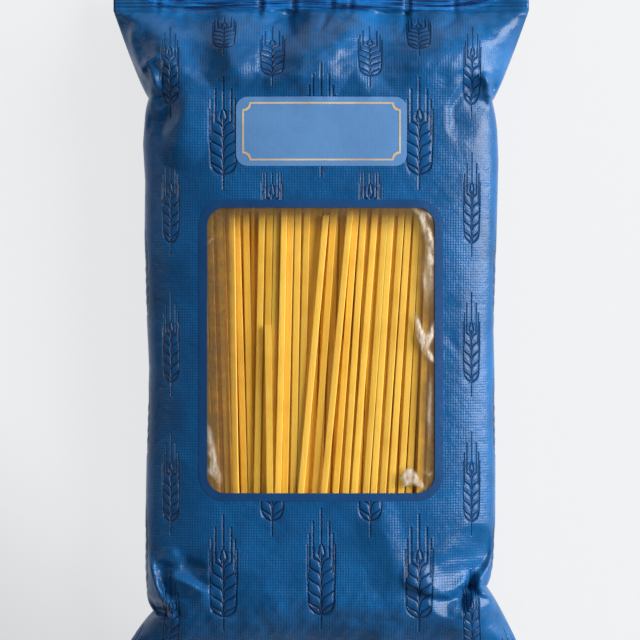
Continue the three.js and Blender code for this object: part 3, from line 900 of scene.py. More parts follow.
# %% Press the ears
EAR_DEPTH = 0.26
ARRAY_STEPS = {
    "ADD": np.add, "SUBTRACT": np.subtract, "MULTIPLY": np.multiply, "DIVIDE": np.divide,
    "MINIMUM": np.minimum, "MAXIMUM": np.maximum, "POWER": np.power, "MODULO": np.fmod,
    "ABSOLUTE": np.abs, "ROUND": np.rint, "FLOOR": np.floor, "SIGN": np.sign, "SQRT": np.sqrt,
    "EXPONENT": np.exp, "GREATER_THAN": np.greater, "LESS_THAN": np.less,
    "MULTIPLY_ADD": lambda a, b, c: a * b + c,
    "COMPARE": lambda a, b, reach: np.abs(a - b) <= reach,
}


class ArrayRecipe:
    """Works a recipe's steps out on arrays."""

    def sum(self, operation, *values):
        return ARRAY_STEPS[operation](*values) * 1.0

    def fade(self, value, low, high, start=0.0, end=1.0):
        return mix(start, end, smooth((value - low) / (high - low)))


def press_ears(piece, depth):
    """Sinks the ears into the mesh, clear of the window's rim and of the seals."""
    count = len(piece.data.loops)
    corner = np.empty(count, dtype=int)
    piece.data.loops.foreach_get("vertex_index", corner)
    uv = np.empty(count * 2)
    piece.data.uv_layers["web"].data.foreach_get("uv", uv)
    web = np.zeros((len(piece.data.vertices), 2))
    web[corner] = (uv.reshape(-1, 2) - 0.5) * UV_SPAN
    across, along = web.T
    lines, inside = wheat_lines(ArrayRecipe(), across, along)
    grains = inside * (1 - smooth((lines - 0.2) / 1.8))
    awns = 0.6 * (1 - inside) * (1 - smooth(lines / 1.2))
    clear = smooth((outline_distance(across, along, WINDOW)[0] - 3) / 2)
    clear *= smooth((160 - np.abs(along)) / 6)
    sunk = depth * (grains + awns) * clear
    normals = np.empty(len(web) * 3)
    piece.data.vertex_normals.foreach_get("vector", normals)
    write_points(piece, read_points(piece) - normals.reshape(-1, 3) * sunk[:, None])
    return int((sunk > depth / 4).sum())


print("points sunk by the ears:", press_ears(film, EAR_DEPTH))

# %% [markdown]
# ## The printed film's finish
# The film is a glossy blue plastic. Each thread of the weave stands up a little, the holes between
# them are painted darker as shade, and the ears are sunk, with painted shade in their lines. Handling
# has rubbed the weave weak in patches. At the ends, streaks along the seal are raised a little and
# painted light and dark as the crimp's ribs would be lit. One flat blue with an even weave would look
# like cloth, so noise at several sizes varies the tone and the relief.

# %% Masks of the film's finish


def film_masks(recipe):
    """Where the weave, the ears' lines, the crimps and the streaks are, each from 0 to 1."""
    s = recipe.sum
    across, along, place = web_places(recipe)
    threads = weave(recipe, across, along)
    lines, inside = wheat_lines(recipe, across, along)
    # The groove is sunk into the relief and is also painted dark, as painted shade in it.
    groove_and_painted_shade = recipe.fade(lines, 0.0, 0.55, 1.0, 0.0)
    lip = recipe.fade(s("ABSOLUTE", s("SUBTRACT", lines, 0.95)), 0.0, 0.45, 1.0, 0.0)
    worn = recipe.noise(place, 0.035, 3.0)
    patch = recipe.noise(place, 0.16, 3.0)
    # Ears and weave end at the seals, and the weave is faint round the packet's sides.
    unsealed = recipe.fade(s("ABSOLUTE", along), 155.0, 162.0, 1.0, 0.0)
    strength = s("MULTIPLY", recipe.fade(worn, 0.36, 0.58, 0.55, 1.0), unsealed)
    strength = s("MULTIPLY", strength, recipe.fade(patch, 0.35, 0.62, 0.6, 1.0))
    strength = s("MULTIPLY", strength, recipe.fade(s("ABSOLUTE", across), 62.0, 84.0, 1.0, 0.25))
    weave_share = s("MULTIPLY", strength, s("SUBTRACT", 1.0, s("MAXIMUM", inside, groove_and_painted_shade)))
    # Streaks drawn out along the seal, that begin unevenly: a little relief, and painted light and shade
    # that stand for the crimp's lit and shaded ribs.
    ragged = s("ADD", s("ABSOLUTE", along), s("MULTIPLY_ADD", recipe.noise(place, 0.11, 2.0), 5.0, -2.5))
    drawn = recipe.node("ShaderNodeMapping", {"Vector": place, "Scale": (0.05, 1.0, 1.0)}).outputs[0]
    return {
        "threads": s("MULTIPLY", threads, weave_share),
        # The holes mask: where the tone is darkened between the threads, as painted shade.
        "holes": s("MULTIPLY", recipe.fade(threads, 0.25, 0.75, 1.0, 0.0), weave_share),
        "groove_and_painted_shade": s("MULTIPLY", unsealed, groove_and_painted_shade),
        "lip": s("MULTIPLY", lip, unsealed),
        "ear": s("MULTIPLY", inside, unsealed),
        "grain": recipe.fade(lines, 0.2, 2.0),
        "worn": worn,
        "patch": patch,
        "crinkle": recipe.noise(place, 0.16, 4.0, 0.6),
        "seal": recipe.fade(ragged, 165.5, 167.0),
        "streak_and_painted_light": recipe.fade(recipe.noise(drawn, 0.62, 3.0, 0.6), 0.38, 0.62),
    }


print("masks ready")

# %% Relief and tone of the printed film


def film_relief(recipe, masks):
    """The fine relief in millimetres."""
    s = recipe.sum
    height = s("MULTIPLY", masks["threads"], 0.15)
    height = s("SUBTRACT", height, s("MULTIPLY", masks["groove_and_painted_shade"], 0.42))
    height = s("ADD", height, s("MULTIPLY", masks["lip"], 0.07))
    # The ear is sunk a little, and each grain swells between its lines.
    swell = s("MULTIPLY_ADD", masks["grain"], 0.16, -0.12)
    height = s("ADD", height, s("MULTIPLY", masks["ear"], swell))
    height = s("ADD", height, s("MULTIPLY", masks["crinkle"], 0.36))
    return s("ADD", height, s("MULTIPLY", s("MULTIPLY", masks["streak_and_painted_light"], masks["seal"]), 0.35))


def film_tone(recipe, masks):
    s = recipe.sum
    dark_blue, light_blue = (0.0046, 0.070, 0.205, 1), (0.0068, 0.110, 0.318, 1)
    tone = recipe.blend(recipe.fade(masks["worn"], 0.3, 0.7), dark_blue, light_blue)
    # Painted shade: the holes between the threads are darkened.
    tone = recipe.blend(s("MULTIPLY", masks["holes"], 0.68), tone, (0.0012, 0.027, 0.115, 1))
    tone = recipe.blend(s("MULTIPLY", masks["ear"], 0.5), tone, (0.004, 0.046, 0.155, 1))
    # Painted shade: the ears' grooves are darkened in the tone.
    tone = recipe.blend(s("MULTIPLY", masks["groove_and_painted_shade"], 0.72), tone, (0.0010, 0.014, 0.060, 1))
    # Painted light and shade: the seal's streaks are painted dark and bright, as its ribs would be lit.
    painted_rib_light = recipe.blend(masks["streak_and_painted_light"], (0.0008, 0.016, 0.085, 1), (0.0075, 0.15, 0.47, 1))
    return recipe.blend(masks["seal"], tone, painted_rib_light)


def make_printed_film():
    recipe = Recipe("printed_film")
    masks = film_masks(recipe)
    rough = recipe.sum("ADD", recipe.fade(masks["patch"], 0.3, 0.7, 0.25, 0.34),
                       recipe.sum("MULTIPLY", masks["holes"], 0.12))
    recipe.surface(Base_Color=film_tone(recipe, masks), Roughness=rough,
                   Normal=recipe.bump(film_relief(recipe, masks)), Specular_IOR_Level=0.27)
    return recipe.material


printed_film = make_printed_film()
film.data.materials.clear()
film.data.materials.append(printed_film)
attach(film, "root")
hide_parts("bag")
print(len(printed_film.node_tree.nodes), "nodes in the film's finish")

# %% [markdown]
# ## The fin down the back
# The web's two edges are pressed together and folded flat against the back. On the real packet
# that fin is a strip about a centimetre wide. It could be part of the web, but it would need its own
# fold there. It lies under the packet, so a thin box is enough, whose underside is cut across its
# length into the crimp's ribs and whose edges wander a little.

# %% The fin
FIN_SIZE = (11.0, 244.0, 0.5)
FIN_MIDDLE = (5.0, 0.0, 0.3)
FIN_CUTS = 121
FIN_RIB = 4.0
FIN_WANDER = 0.25


def block(name, size, middle=(0, 0, 0)):
    """A box of a size in millimetres, with its middle at a place."""
    deselect_all()
    bpy.ops.mesh.primitive_cube_add(size=1)
    piece = bpy.context.object
    piece.name = name
    piece.scale = [length * MM for length in size]
    piece.location = [place * MM for place in middle]
    bpy.ops.object.transform_apply(location=True, rotation=False, scale=True)
    return piece


def edges_along(mesh, axis, longer_than):
    """The edges that run along an axis, by how far their two ends are apart on it."""
    return [edge for edge in mesh.edges
            if abs(edge.verts[0].co[axis] - edge.verts[1].co[axis]) > longer_than * MM]


fin = block("fin_seam", FIN_SIZE, FIN_MIDDLE)
bpy.ops.object.mode_set(mode="EDIT")
bpy.ops.mesh.select_all(action="SELECT")
mesh = bmesh.from_edit_mesh(fin.data)
bmesh.ops.subdivide_edges(mesh, edges=edges_along(mesh, 1, 100), cuts=FIN_CUTS, use_grid_fill=True)
for vert in mesh.verts:
    if vert.co.z > FIN_MIDDLE[2] * MM:
        continue
    wave = math.sin(vert.co.y / MM / FIN_RIB * 2 * math.pi)
    vert.co.z = (0.07 + 0.05 * wave) * MM
    vert.co.x += FIN_WANDER * MM * math.sin(vert.co.y / MM / 37)
bmesh.update_edit_mesh(fin.data)
bpy.ops.object.mode_set(mode="OBJECT")
fin.data.shade_smooth()


def make_fin_film():
    recipe = Recipe("fin_film")
    place = recipe.node("ShaderNodeTexCoord").outputs["Object"]
    parts = recipe.node("ShaderNodeSeparateXYZ", {0: place}).outputs
    ribs = recipe.sum("SINE", recipe.sum("MULTIPLY", parts[1], 2 * math.pi / (2 * MM)))
    fine = recipe.noise(place, 300.0, 3.0)
    tone = recipe.blend(recipe.fade(fine, 0.3, 0.7), (0.006, 0.06, 0.2, 1), (0.010, 0.09, 0.27, 1))
    height = recipe.sum("ADD", recipe.sum("MULTIPLY", ribs, 0.08), recipe.sum("MULTIPLY", fine, 0.1))
    recipe.surface(Base_Color=tone, Roughness=recipe.fade(fine, 0.2, 0.8, 0.3, 0.42),
                   Normal=recipe.bump(height))
    return recipe.material


fin.data.materials.append(make_fin_film())
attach(fin, "root")
print("fin", [round(size / MM, 1) for size in fin.dimensions], "mm")

# %% [markdown]
# ## The strands
# Long flat pasta is a bar about 3 by 1.7 mm with softly rounded edges. A physics run could pour the
# strands, but it would not lay them where the photograph shows them. So one strand is modelled from
# a cube: its long edges are bevelled and its length is cut so that it can bend a little. It is then
# copied, and each copy gets its own place, lean, roll, bow and tint. A strand comes to rest on the
# highest one that it crosses, so they lie in and over one another as they do in the packet.

# %% One strand
STRAND_WIDTH = 3.0
STRAND_THICK = 1.75
STRAND_ROUND = 0.36
STRAND_STEPS = 20

# The template is a metre long, and each copy is scaled to its own length.
strand = block("strand", (STRAND_WIDTH, 1 / MM, STRAND_THICK))
mesh = bmesh.new()
mesh.from_mesh(strand.data)
bmesh.ops.bevel(mesh, geom=edges_along(mesh, 1, 500), offset=STRAND_ROUND * MM, segments=3,
                profile=0.6, affect="EDGES")
bmesh.ops.subdivide_edges(mesh, edges=edges_along(mesh, 1, 500), cuts=STRAND_STEPS - 1)
bmesh.ops.recalc_face_normals(mesh, faces=mesh.faces)
mesh.to_mesh(strand.data)
mesh.free()
template = read_points(strand)
template[:, 1] *= MM
print("one strand has", len(strand.data.polygons), "faces")

# %% Where each strand lies
HEAP_FLOOR = 38.2
HEAP_TOP = 44.5
HEAP_HALF = 72.0
HEAP_END = 125.0
# Strands that cross are pressed together a little.
LAYER = STRAND_THICK * 0.94
# The strands that show most, by where they cross the window's upper and lower edges.
FRONT_STRANDS = [
    (-47.7, -43.2), (-41.4, -39.5), (-37.6, -33.1), (-27.4, -29.8), (-20.5, -23.1), (-17.3, -20.2),
    (-13.8, -16.7), (-10.6, -12.9), (-6.4, -9.7), (5.9, -3.0), (16.2, 6.6), (19.8, 11.2),
    (25.6, 15.6), (29.7, 20.6), (33.0, 24.6), (37.6, 28.6), (41.0, 32.6), (44.4, 36.8), (47.6, 40.6),
]
# Two that lie on top, with their upper ends too, and a short one: its place, lean and upper end.
TOP_STRANDS = [(2.6, -9.4, 57.5), (13.5, 1.1, 125.0)]
SHORT_STRAND = (-24.6, -1.5, 6.6)
LOW_END = -124.0
drop = np.random.default_rng(41)
samples = np.linspace(-1, 1, 15)
heap = []


def strand_path(x_upper, x_lower):
    """Place in the middle of the packet and shift at the end, from two crossings of the window."""
    upper = WINDOW["y"] + WINDOW["height"] / 2
    slope = (x_upper - x_lower) / WINDOW["height"]
    return x_upper - slope * upper, slope * HEAP_END


def cut_ends(spread):
    """A strand's two ends, which differ a little from strand to strand."""
    return HEAP_END - drop.exponential(spread), -HEAP_END + drop.exponential(spread)


def lay(x, lean, top, bottom, limit, tint_and_depth_shade):
    """Drops one strand on what it crosses, and says whether it found room under the limit."""
    ys = (top + bottom) / 2 + samples * (top - bottom) / 2
    xs = x + lean * ys / HEAP_END
    if np.abs(xs).max() > HEAP_HALF:
        return False
    height = HEAP_FLOOR
    for other in heap:
        apart = np.abs(xs - other["x"] - other["lean"] * ys / HEAP_END)
        met = (apart < STRAND_WIDTH * 0.95) & (ys < other["top"] + 1) & (ys > other["bottom"] - 1)
        if met.any():
            height = max(height, other["z"] + LAYER)
    if height > limit:
        return False
    heap.append({"x": x, "lean": lean, "top": top, "bottom": bottom, "z": height, "tint_and_depth_shade": tint_and_depth_shade,
                 "roll": drop.normal(0, 3.0), "bow": drop.normal(0, 0.25)})
    return True


def lean_at(x):
    """Strands fan to the left at the left side and to the right in the middle."""
    left = -3.6 * float(smooth((-x - 26) / 12))
    right = 3.4 * float(smooth((x + 34) / 14))
    return left + right + 1.4 * float(smooth((x + 5) / 10) * smooth((60 - x) / 20))


def fill_level(level, pitch, low_tint_and_shade, high_tint_and_shade, where=lambda x: True):
    """One sweep from left to right that lays strands side by side."""
    limit = HEAP_FLOOR + (level + 0.4) * LAYER
    laid = 0
    x = -HEAP_HALF
    while x < HEAP_HALF:
        top, bottom = cut_ends(1.2)
        lean = lean_at(x) * drop.uniform(0.8, 1.1) + drop.normal(0, 0.25)
        if where(x) and lay(x, lean, top, bottom, limit, drop.uniform(low_tint_and_shade, high_tint_and_shade)):
            laid += 1
            x += pitch * drop.uniform(0.98, 1.1)
        else:
            x += 0.35
    return laid


print(len(FRONT_STRANDS) + len(TOP_STRANDS) + 1, "strands are placed by hand")

# %% Lay the strands
# Lower levels get the deeper end of the pasta's tone, which is painted shade under the strands on top.
counts = [fill_level(0, 3.2, 0.15, 0.4), fill_level(1, 3.1, 0.3, 0.7)]
front_limit = HEAP_FLOOR + 3.4 * STRAND_THICK
for x_upper, x_lower in FRONT_STRANDS:
    x, lean = strand_path(x_upper, x_lower)
    top, bottom = cut_ends(1.0)
    lay(x, lean, top, bottom, front_limit, drop.uniform(0.55, 1.0))
# The rest of the level goes in where there is room beside them.
counts.append(fill_level(2, 3.05, 0.25, 0.8))
for x_upper, x_lower, top in TOP_STRANDS:
    x, lean = strand_path(x_upper, x_lower)
    lay(x, lean, top, LOW_END, HEAP_TOP - STRAND_THICK / 2, 1.0)
x, lean, top = SHORT_STRAND
lay(x, lean, top, LOW_END, HEAP_TOP + STRAND_THICK, 0.95)
# A last level only at the packet's sides, past the window.
counts.append(fill_level(3, 3.6, 0.4, 0.8, lambda x: abs(x) > 48))
print("strands in each level:", counts, "and in all:", len(heap))

# %% Copy the strand to every place and join the copies
PANE_ROOM = 0.9


def set_values(piece, name, values):
    """A value for each point of a piece, that its material reads by name."""
    layer = piece.data.attributes.new(name, "FLOAT", "POINT")
    layer.data.foreach_set("value", np.zeros(len(piece.data.vertices)) + values)


def heap_sink(xs, ys):
    """How far the heap lies under its flat levels: it is domed as the film is, and sinks a little
    away from it under the window's upper part, at its sides and at its ends."""
    sink = front_level(np.zeros_like(xs), ys)[0] - front_level(xs, ys * 0.9)[0]
    sink += (1.2 * smooth((np.abs(xs) - 38) / 30) + 0.7 * smooth((ys - 20) / 30)
             + 1.8 * smooth((ys - 46) / 16))
    sink += 4.5 * smooth((outline_distance(xs, ys, WINDOW)[0] - 3) / 22)
    return sink + 6.0 * smooth((np.abs(xs) - 46) / 12) * smooth((np.abs(ys) - 84) / 14)


copies = []
for lie in heap:
    copy = strand.copy()
    copy.data = strand.data.copy()
    bpy.context.collection.objects.link(copy)
    ys = (lie["top"] + lie["bottom"]) / 2 + template[:, 1] * (lie["top"] - lie["bottom"])
    roll = math.radians(lie["roll"])
    turned_x = template[:, 0] * math.cos(roll) + template[:, 2] * math.sin(roll)
    turned_z = template[:, 2] * math.cos(roll) - template[:, 0] * math.sin(roll)
    bow = lie["bow"] * (1 - (ys / HEAP_END) ** 2)
    xs = lie["x"] + lie["lean"] * ys / HEAP_END + turned_x + bow
    zs = np.minimum(lie["z"] + turned_z - heap_sink(xs, ys), front_height(xs, ys) - PANE_ROOM)
    write_points(copy, np.stack([xs, ys, zs], axis=1))
    set_values(copy, "tint_and_depth_shade", lie["tint_and_depth_shade"])
    copies.append(copy)
bpy.data.objects.remove(strand)
deselect_all()
for copy in copies:
    copy.select_set(True)
bpy.context.view_layer.objects.active = copies[0]
bpy.ops.object.join()
strands = bpy.context.object
strands.name = "strands"
select_only(strands)
bpy.ops.object.shade_smooth_by_angle(angle=math.radians(50))
print("strands:", len(strands.data.polygons), "faces")

# %% The heap under the strands that show
CORE_WIDTH = 148.0
CORE_LENGTH = 196.0
CORE_BOTTOM = 2.8
CORE_TOP = 36.0
CORE_ROUND = 15.0
CORE_CUTS = 79
CORE_RIDGE = 1.55
# The core gets the deep end of the pasta's tone: painted shade under the strands.
CORE_TINT_AND_SHADE = 0.2

core = block("strand_core", (CORE_WIDTH, CORE_LENGTH, CORE_TOP - CORE_BOTTOM),
             (0, 0, (CORE_TOP + CORE_BOTTOM) / 2))
mesh = bmesh.new()
mesh.from_mesh(core.data)
bmesh.ops.bevel(mesh, geom=edges_along(mesh, 1, 100), offset=CORE_ROUND * MM, segments=6, profile=0.5,
                affect="EDGES")
# The top is cut into ridges about a strand apart, and domed as the film is.
bmesh.ops.subdivide_edges(mesh, edges=edges_along(mesh, 0, 100), cuts=CORE_CUTS, use_grid_fill=True)
for vert in mesh.verts:
    if vert.co.z > (CORE_TOP - 0.8) * MM:
        vert.co.z -= 0.5 * MM * (round(vert.co.x / MM / CORE_RIDGE) % 2)
        vert.co.z -= (CREST - float(front_level(np.array(vert.co.x / MM), np.array(0.0))[0])) * MM
bmesh.ops.recalc_face_normals(mesh, faces=mesh.faces)
mesh.to_mesh(core.data)
mesh.free()
set_values(core, "tint_and_depth_shade", CORE_TINT_AND_SHADE)
core.data.shade_smooth()
print("core:", len(core.data.polygons), "faces")

# %% [markdown]
# ## Dry pasta
# Dry semolina pasta is a warm yellow, a little translucent, and finely rough from its die, with
# faint streaks along each strand and paler specks. A material for each strand would be many, so
# they share one: a value that is stored on each strand's points moves it between a paler and a
# deeper yellow. It is partly each strand's own tone, at random, and partly painted shade: strands
# lower in the heap, and the core, get the deeper end. The streaks are noise stretched along the strand.

# %% The pasta's finish


def make_dry_pasta():
    recipe = Recipe("dry_pasta")
    s = recipe.sum
    place = recipe.node("ShaderNodeTexCoord").outputs["Object"]
    tint_and_depth_shade = recipe.node("ShaderNodeAttribute", attribute_name="tint_and_depth_shade").outputs["Fac"]
    stretched = recipe.node("ShaderNodeMapping", {"Vector": place, "Scale": (1.0, 0.02, 1.0)}).outputs[0]
    streaks = recipe.noise(stretched, 1500.0, 3.0)
    cloud = recipe.noise(place, 60.0, 2.0)
    specks = recipe.noise(place, 2600.0, 1.0)
    base = recipe.blend(recipe.fade(tint_and_depth_shade, 0.0, 1.0), (0.85, 0.43, 0.022, 1), (0.90, 0.558, 0.082, 1))
    base = recipe.blend(s("MULTIPLY", recipe.fade(streaks, 0.35, 0.7), 0.35), base, (0.84, 0.55, 0.11, 1))
    base = recipe.blend(s("MULTIPLY", recipe.fade(cloud, 0.45, 0.7), 0.3), base, (0.66, 0.33, 0.02, 1))
    base = recipe.blend(s("MULTIPLY", recipe.fade(specks, 0.66, 0.74), 0.45), base, (0.93, 0.72, 0.34, 1))
    height = s("ADD", s("MULTIPLY", streaks, 0.10), s("MULTIPLY", specks, 0.03))
    recipe.surface(Base_Color=base, Roughness=recipe.fade(streaks, 0.3, 0.7, 0.42, 0.55),
                   Normal=recipe.bump(height), Specular_IOR_Level=0.3, Subsurface_Weight=0.35,
                   Subsurface_Radius=(1.0, 0.5, 0.10), Subsurface_Scale=0.0016)
    return recipe.material


dry_pasta = make_dry_pasta()
for piece in (strands, core):
    piece.data.materials.clear()
    piece.data.materials.append(dry_pasta)
    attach(piece, "root")
    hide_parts("pasta")
print("pasta dressed")

# %% [markdown]
# ## The clear film in the window
# The pane is a second film heat-sealed behind the hole. It is tight over the strands and puckers
# near its sides, where it bridges to the seal. There the creases catch the light, and their white is
# a painted highlight: a cream colour along them.
# Cloth physics could crumple it, but not where the photograph has its creases. So it starts as a
# grid, is cut to the rounded outline like the hole, and gets its own strokes.

# %% The pane's creases
PANE_STROKES = [
    ([(42.5, 61), (46, 57.5), (48.5, 52), (51, 45), (52, 36)], 1.0, 1.4),
    ([(47, 58), (50, 58.5), (53, 55)], 0.8, 1.2),
    ([(48.5, 50), (50, 40), (51, 28), (51.5, 14)], 0.55, 2.0),
    ([(46.5, 38), (48, 25), (48.5, 14)], 0.5, 1.2),
    ([(43.5, 12), (45.5, 4), (48, -4.5)], 1.2, 1.3),
    ([(53, 8), (50.5, 1), (48, -4.5)], 1.1, 1.4),
    ([(46, 2), (48.5, 0)], 0.8, 1.6),
    ([(48, -5), (51, -8.5), (53, -10.5)], 1.1, 1.3),
    ([(51, -14), (50, -35), (50.5, -52)], 0.6, 1.2),
    ([(37.5, -64), (41, -61), (44, -65), (48, -69.5)], 1.2, 1.6),
    ([(38, -68), (41, -65)], 0.7, 2.0),
    ([(45.5, -60), (50, -63), (53, -60)], 0.5, 0.9),
    ([(44, -34), (46, -40), (45, -47)], 0.4, 1.0),
    ([(-52.5, 44), (-49.5, 48)], 0.5, 0.7),
    ([(-52.5, -38), (-51, -48), (-49.5, -58), (-46, -66)], 0.9, 1.5),
    ([(-53, -60), (-49, -63), (-47, -68)], 0.7, 1.4),
    ([(-52.5, -52), (-50, -55), (-51, -62)], 0.5, 0.8),
    ([(38, -48), (38.5, -55)], 0.3, 1.0),
]
print(len(PANE_STROKES), "creases in the pane")

# %% The pane
PANE_COLUMNS = 112
PANE_ROWS = 140
PANE_THICK = 0.12
# It reaches under the film's rim, stops just short of the wall there, and lies a little lower.
PANE_GAP = 0.08
PANE_DROP = 0.35
PANE_SAG = 0.25


def pane_height(x, y):
    edge = smooth(1 + outline_distance(x, y, WINDOW)[0] / 16)
    relief = 0.55 * stroke_height(x, y, PANE_STROKES)
    relief += (0.10 * facets(x, y, pitch=9, count=5, seed=21) * edge
               + 0.05 * facets(x, y, pitch=4, count=4, seed=22) * edge)
    taut = smooth(-outline_distance(x, y, WINDOW)[0] / 3)
    return front_height(x, y) - PANE_DROP + relief * taut - PANE_SAG * taut


def lay_grid(name, columns, rows, shape, spare, height_at):
    """A grid laid over a shape's whole rectangle and a little more, at the height there."""
    piece, flat = flat_grid(name, columns, rows)
    px = flat[:, 0] * (shape["width"] / 2 + spare) + shape["x"]
    py = flat[:, 1] * (shape["height"] / 2 + spare) + shape["y"]
    write_points(piece, np.stack([px, py, height_at(px, py)], axis=1))
    return piece


def thicken(piece, thickness):
    """Gives a sheet its thickness downwards, with the outer face kept."""
    select_only(piece)
    wall = piece.modifiers.new("thickness", "SOLIDIFY")
    wall.thickness = thickness * MM
    wall.offset = -1
    bpy.ops.object.modifier_apply(modifier=wall.name)


pane = lay_grid("window_pane", PANE_COLUMNS, PANE_ROWS, WINDOW, TUCK + 0.6, pane_height)
cut_to_outline(pane, WINDOW, TUCK - PANE_GAP, True, pane_height)
px, py, _ = read_points(pane).T
# The creases' mask, which the pane's finish paints cream as a painted highlight.
creased = np.abs(stroke_height(px, py, PANE_STROKES)) * 1.7 - 0.22
# The pane is dull along its left and right sides and below its upper edge. There it carries a dark brown
# veil: dull haze, and painted shade on the strands under it, most below the upper edge.
haze_and_painted_shade = smooth((px - 43) / 9) + smooth((-px - 37.5) / 12)
haze_and_painted_shade += 0.30 * smooth((py - 48) / 9) + 0.65 * smooth((py - 55.5) / 5)
set_values(pane, "crease", np.clip(creased, 0, 1))
set_values(pane, "haze_and_painted_shade", np.clip(haze_and_painted_shade, 0, 1))
pane.data.shade_smooth()
thicken(pane, PANE_THICK)
print("pane:", len(pane.data.polygons), "faces")

# %% Clear film


def make_clear_film():
    recipe = Recipe("clear_film")
    s = recipe.sum
    place = recipe.node("ShaderNodeTexCoord").outputs["Object"]
    crease = recipe.node("ShaderNodeAttribute", attribute_name="crease").outputs["Fac"]
    haze_and_painted_shade = recipe.node("ShaderNodeAttribute", attribute_name="haze_and_painted_shade").outputs["Fac"]
    ripple = recipe.noise(place, 130.0, 3.0)
    crinkle = recipe.noise(place, 420.0, 2.0)
    height = s("ADD", s("MULTIPLY", ripple, 0.30), s("MULTIPLY", s("MULTIPLY", crinkle, haze_and_painted_shade), 0.35))
    streaked = recipe.node("ShaderNodeMapping", {"Vector": place, "Scale": (1.0, 0.3, 1.0)}).outputs[0]
    broken_painted_highlight = recipe.fade(recipe.noise(streaked, 420.0, 3.0, 0.6), 0.34, 0.62, 0.35, 1.0)
    folds = s("MULTIPLY", recipe.fade(crease, 0.05, 1.0), broken_painted_highlight)
    # Painted shade: the veil mixes in the dark brown body, which darkens the strands under it.
    hazy_painted_shade = s("MULTIPLY", haze_and_painted_shade, recipe.fade(ripple, 0.3, 0.65, 0.55, 1.0))
    # Cream along the creases is a painted highlight, and the dark brown is the painted shade of the veil.
    tone = recipe.blend(folds, (0.235, 0.145, 0.066, 1), (0.84, 0.74, 0.60, 1))
    body = recipe.node("ShaderNodeBsdfPrincipled", {
        "Base Color": tone, "Roughness": 0.2, "Specular IOR Level": 0.6, "Normal": recipe.bump(height)})
    clear = recipe.node("ShaderNodeBsdfTransparent", {"Color": (0.99, 0.985, 0.975, 1)})
    share = s("MAXIMUM", s("MULTIPLY_ADD", hazy_painted_shade, 0.53, 0.004), s("MULTIPLY", folds, 0.74))
    both = recipe.node("ShaderNodeMixShader", {0: share, 1: clear.outputs[0], 2: body.outputs[0]})
    recipe.tree.links.new(both.outputs[0], recipe.output.inputs["Surface"])
    return recipe.material


pane.data.materials.append(make_clear_film())
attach(pane, "root")
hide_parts("window_film")
print("pane dressed")

# %% [markdown]
# ## Band, label and rule
# A smooth band borders the window, where the film isn't pressed. The label is a lighter plate of
# print with a fine cream rule inside it, whose corners are scooped. They could be colours in the
# film's material, but a separate thin plate has a clean edge at any distance. The plates are laid
# on the film's own height function one or two tenths of a millimetre up, so that they follow every
# crease under them.

# %% Outlines
CORNER_STEPS = 12
SIDE_STEPS = 24


def plate_outline(shape, grow):
    """A rectangle with rounded corners, or with scooped ones where the shape has a notch."""
    scooped = "notch" in shape
    radius = shape["notch"] if scooped else shape["radius"] + grow
    inwards = 0 if scooped else radius
    half_x = shape["width"] / 2 + grow - inwards
    half_y = shape["height"] / 2 + grow - inwards
    corners = [(half_x, half_y), (-half_x, half_y), (-half_x, -half_y), (half_x, -half_y)]
    # A scoop starts three quarter turns on and is drawn the other way round.
    first, way = (3, -1) if scooped else (0, 1)

    def on_arc(index, step):
        angle = (index + first + way * step / CORNER_STEPS) * math.pi / 2
        cx, cy = corners[index % 4]
        return cx + radius * math.cos(angle), cy + radius * math.sin(angle)

    points = []
    for index in range(4):
        points += [on_arc(index, step) for step in range(CORNER_STEPS + 1)]
        (ax, ay), (bx, by) = points[-1], on_arc(index + 1, 0)
        points += [(mix(ax, bx, i / SIDE_STEPS), mix(ay, by, i / SIDE_STEPS))
                   for i in range(1, SIDE_STEPS)]
    return np.array(points) + (shape["x"], shape["y"])


def ring_plate(name, outer, inner, steps, lift, thickness):
    """A thin closed ring between two outlines, laid on the film."""
    count = len(outer)
    deselect_all()
    bpy.ops.mesh.primitive_circle_add(vertices=count, radius=0.05, fill_type="NOTHING")
    piece = bpy.context.object
    piece.name = name
    mesh = bmesh.new()
    mesh.from_mesh(piece.data)
    mesh.verts.ensure_lookup_table()
    loops = [[mesh.verts[i] for i in range(count)]]
    for _ in range(steps):
        loops.append([mesh.verts.new() for _ in range(count)])
    for k, loop in enumerate(loops):
        flat = mix(outer, inner, k / steps)
        heights = front_height(flat[:, 0], flat[:, 1]) + lift
        for vert, (fx, fy), height in zip(loop, flat, heights):
            vert.co = (fx * MM, fy * MM, height * MM)
    for first, second in zip(loops, loops[1:]):
        for i in range(count):
            j = (i + 1) % count
            mesh.faces.new((first[i], first[j], second[j], second[i]))
    bmesh.ops.recalc_face_normals(mesh, faces=mesh.faces)
    mesh.to_mesh(piece.data)
    mesh.free()
    finish_plate(piece, thickness)
    return piece


def finish_plate(piece, thickness):
    """Turns a sheet's faces up, thickens it and keeps its edge sharp."""
    if np.mean([face.normal.z for face in piece.data.polygons]) < 0:
        piece.data.flip_normals()
    thicken(piece, thickness)
    bpy.ops.object.shade_smooth_by_angle(angle=math.radians(40))


print("outlines have", len(plate_outline(WINDOW, 0)), "points")

# %% Lay the three plates on the film
BAND_WIDTH = 3.7
LABEL = {"x": 0.2, "y": 96.2, "width": 79.0, "height": 32.0, "radius": 5.4}
RULE = {"x": 0.2, "y": 96.2, "width": 73.4, "height": 27.0, "notch": 3.3}
RULE_WIDTH = 0.8
# How far the band and the label stand up from the film, and the rule above them.
PLATE_LIFT = 0.12
RULE_LIFT = 0.20


def label_height(x, y):
    return front_height(x, y) + PLATE_LIFT


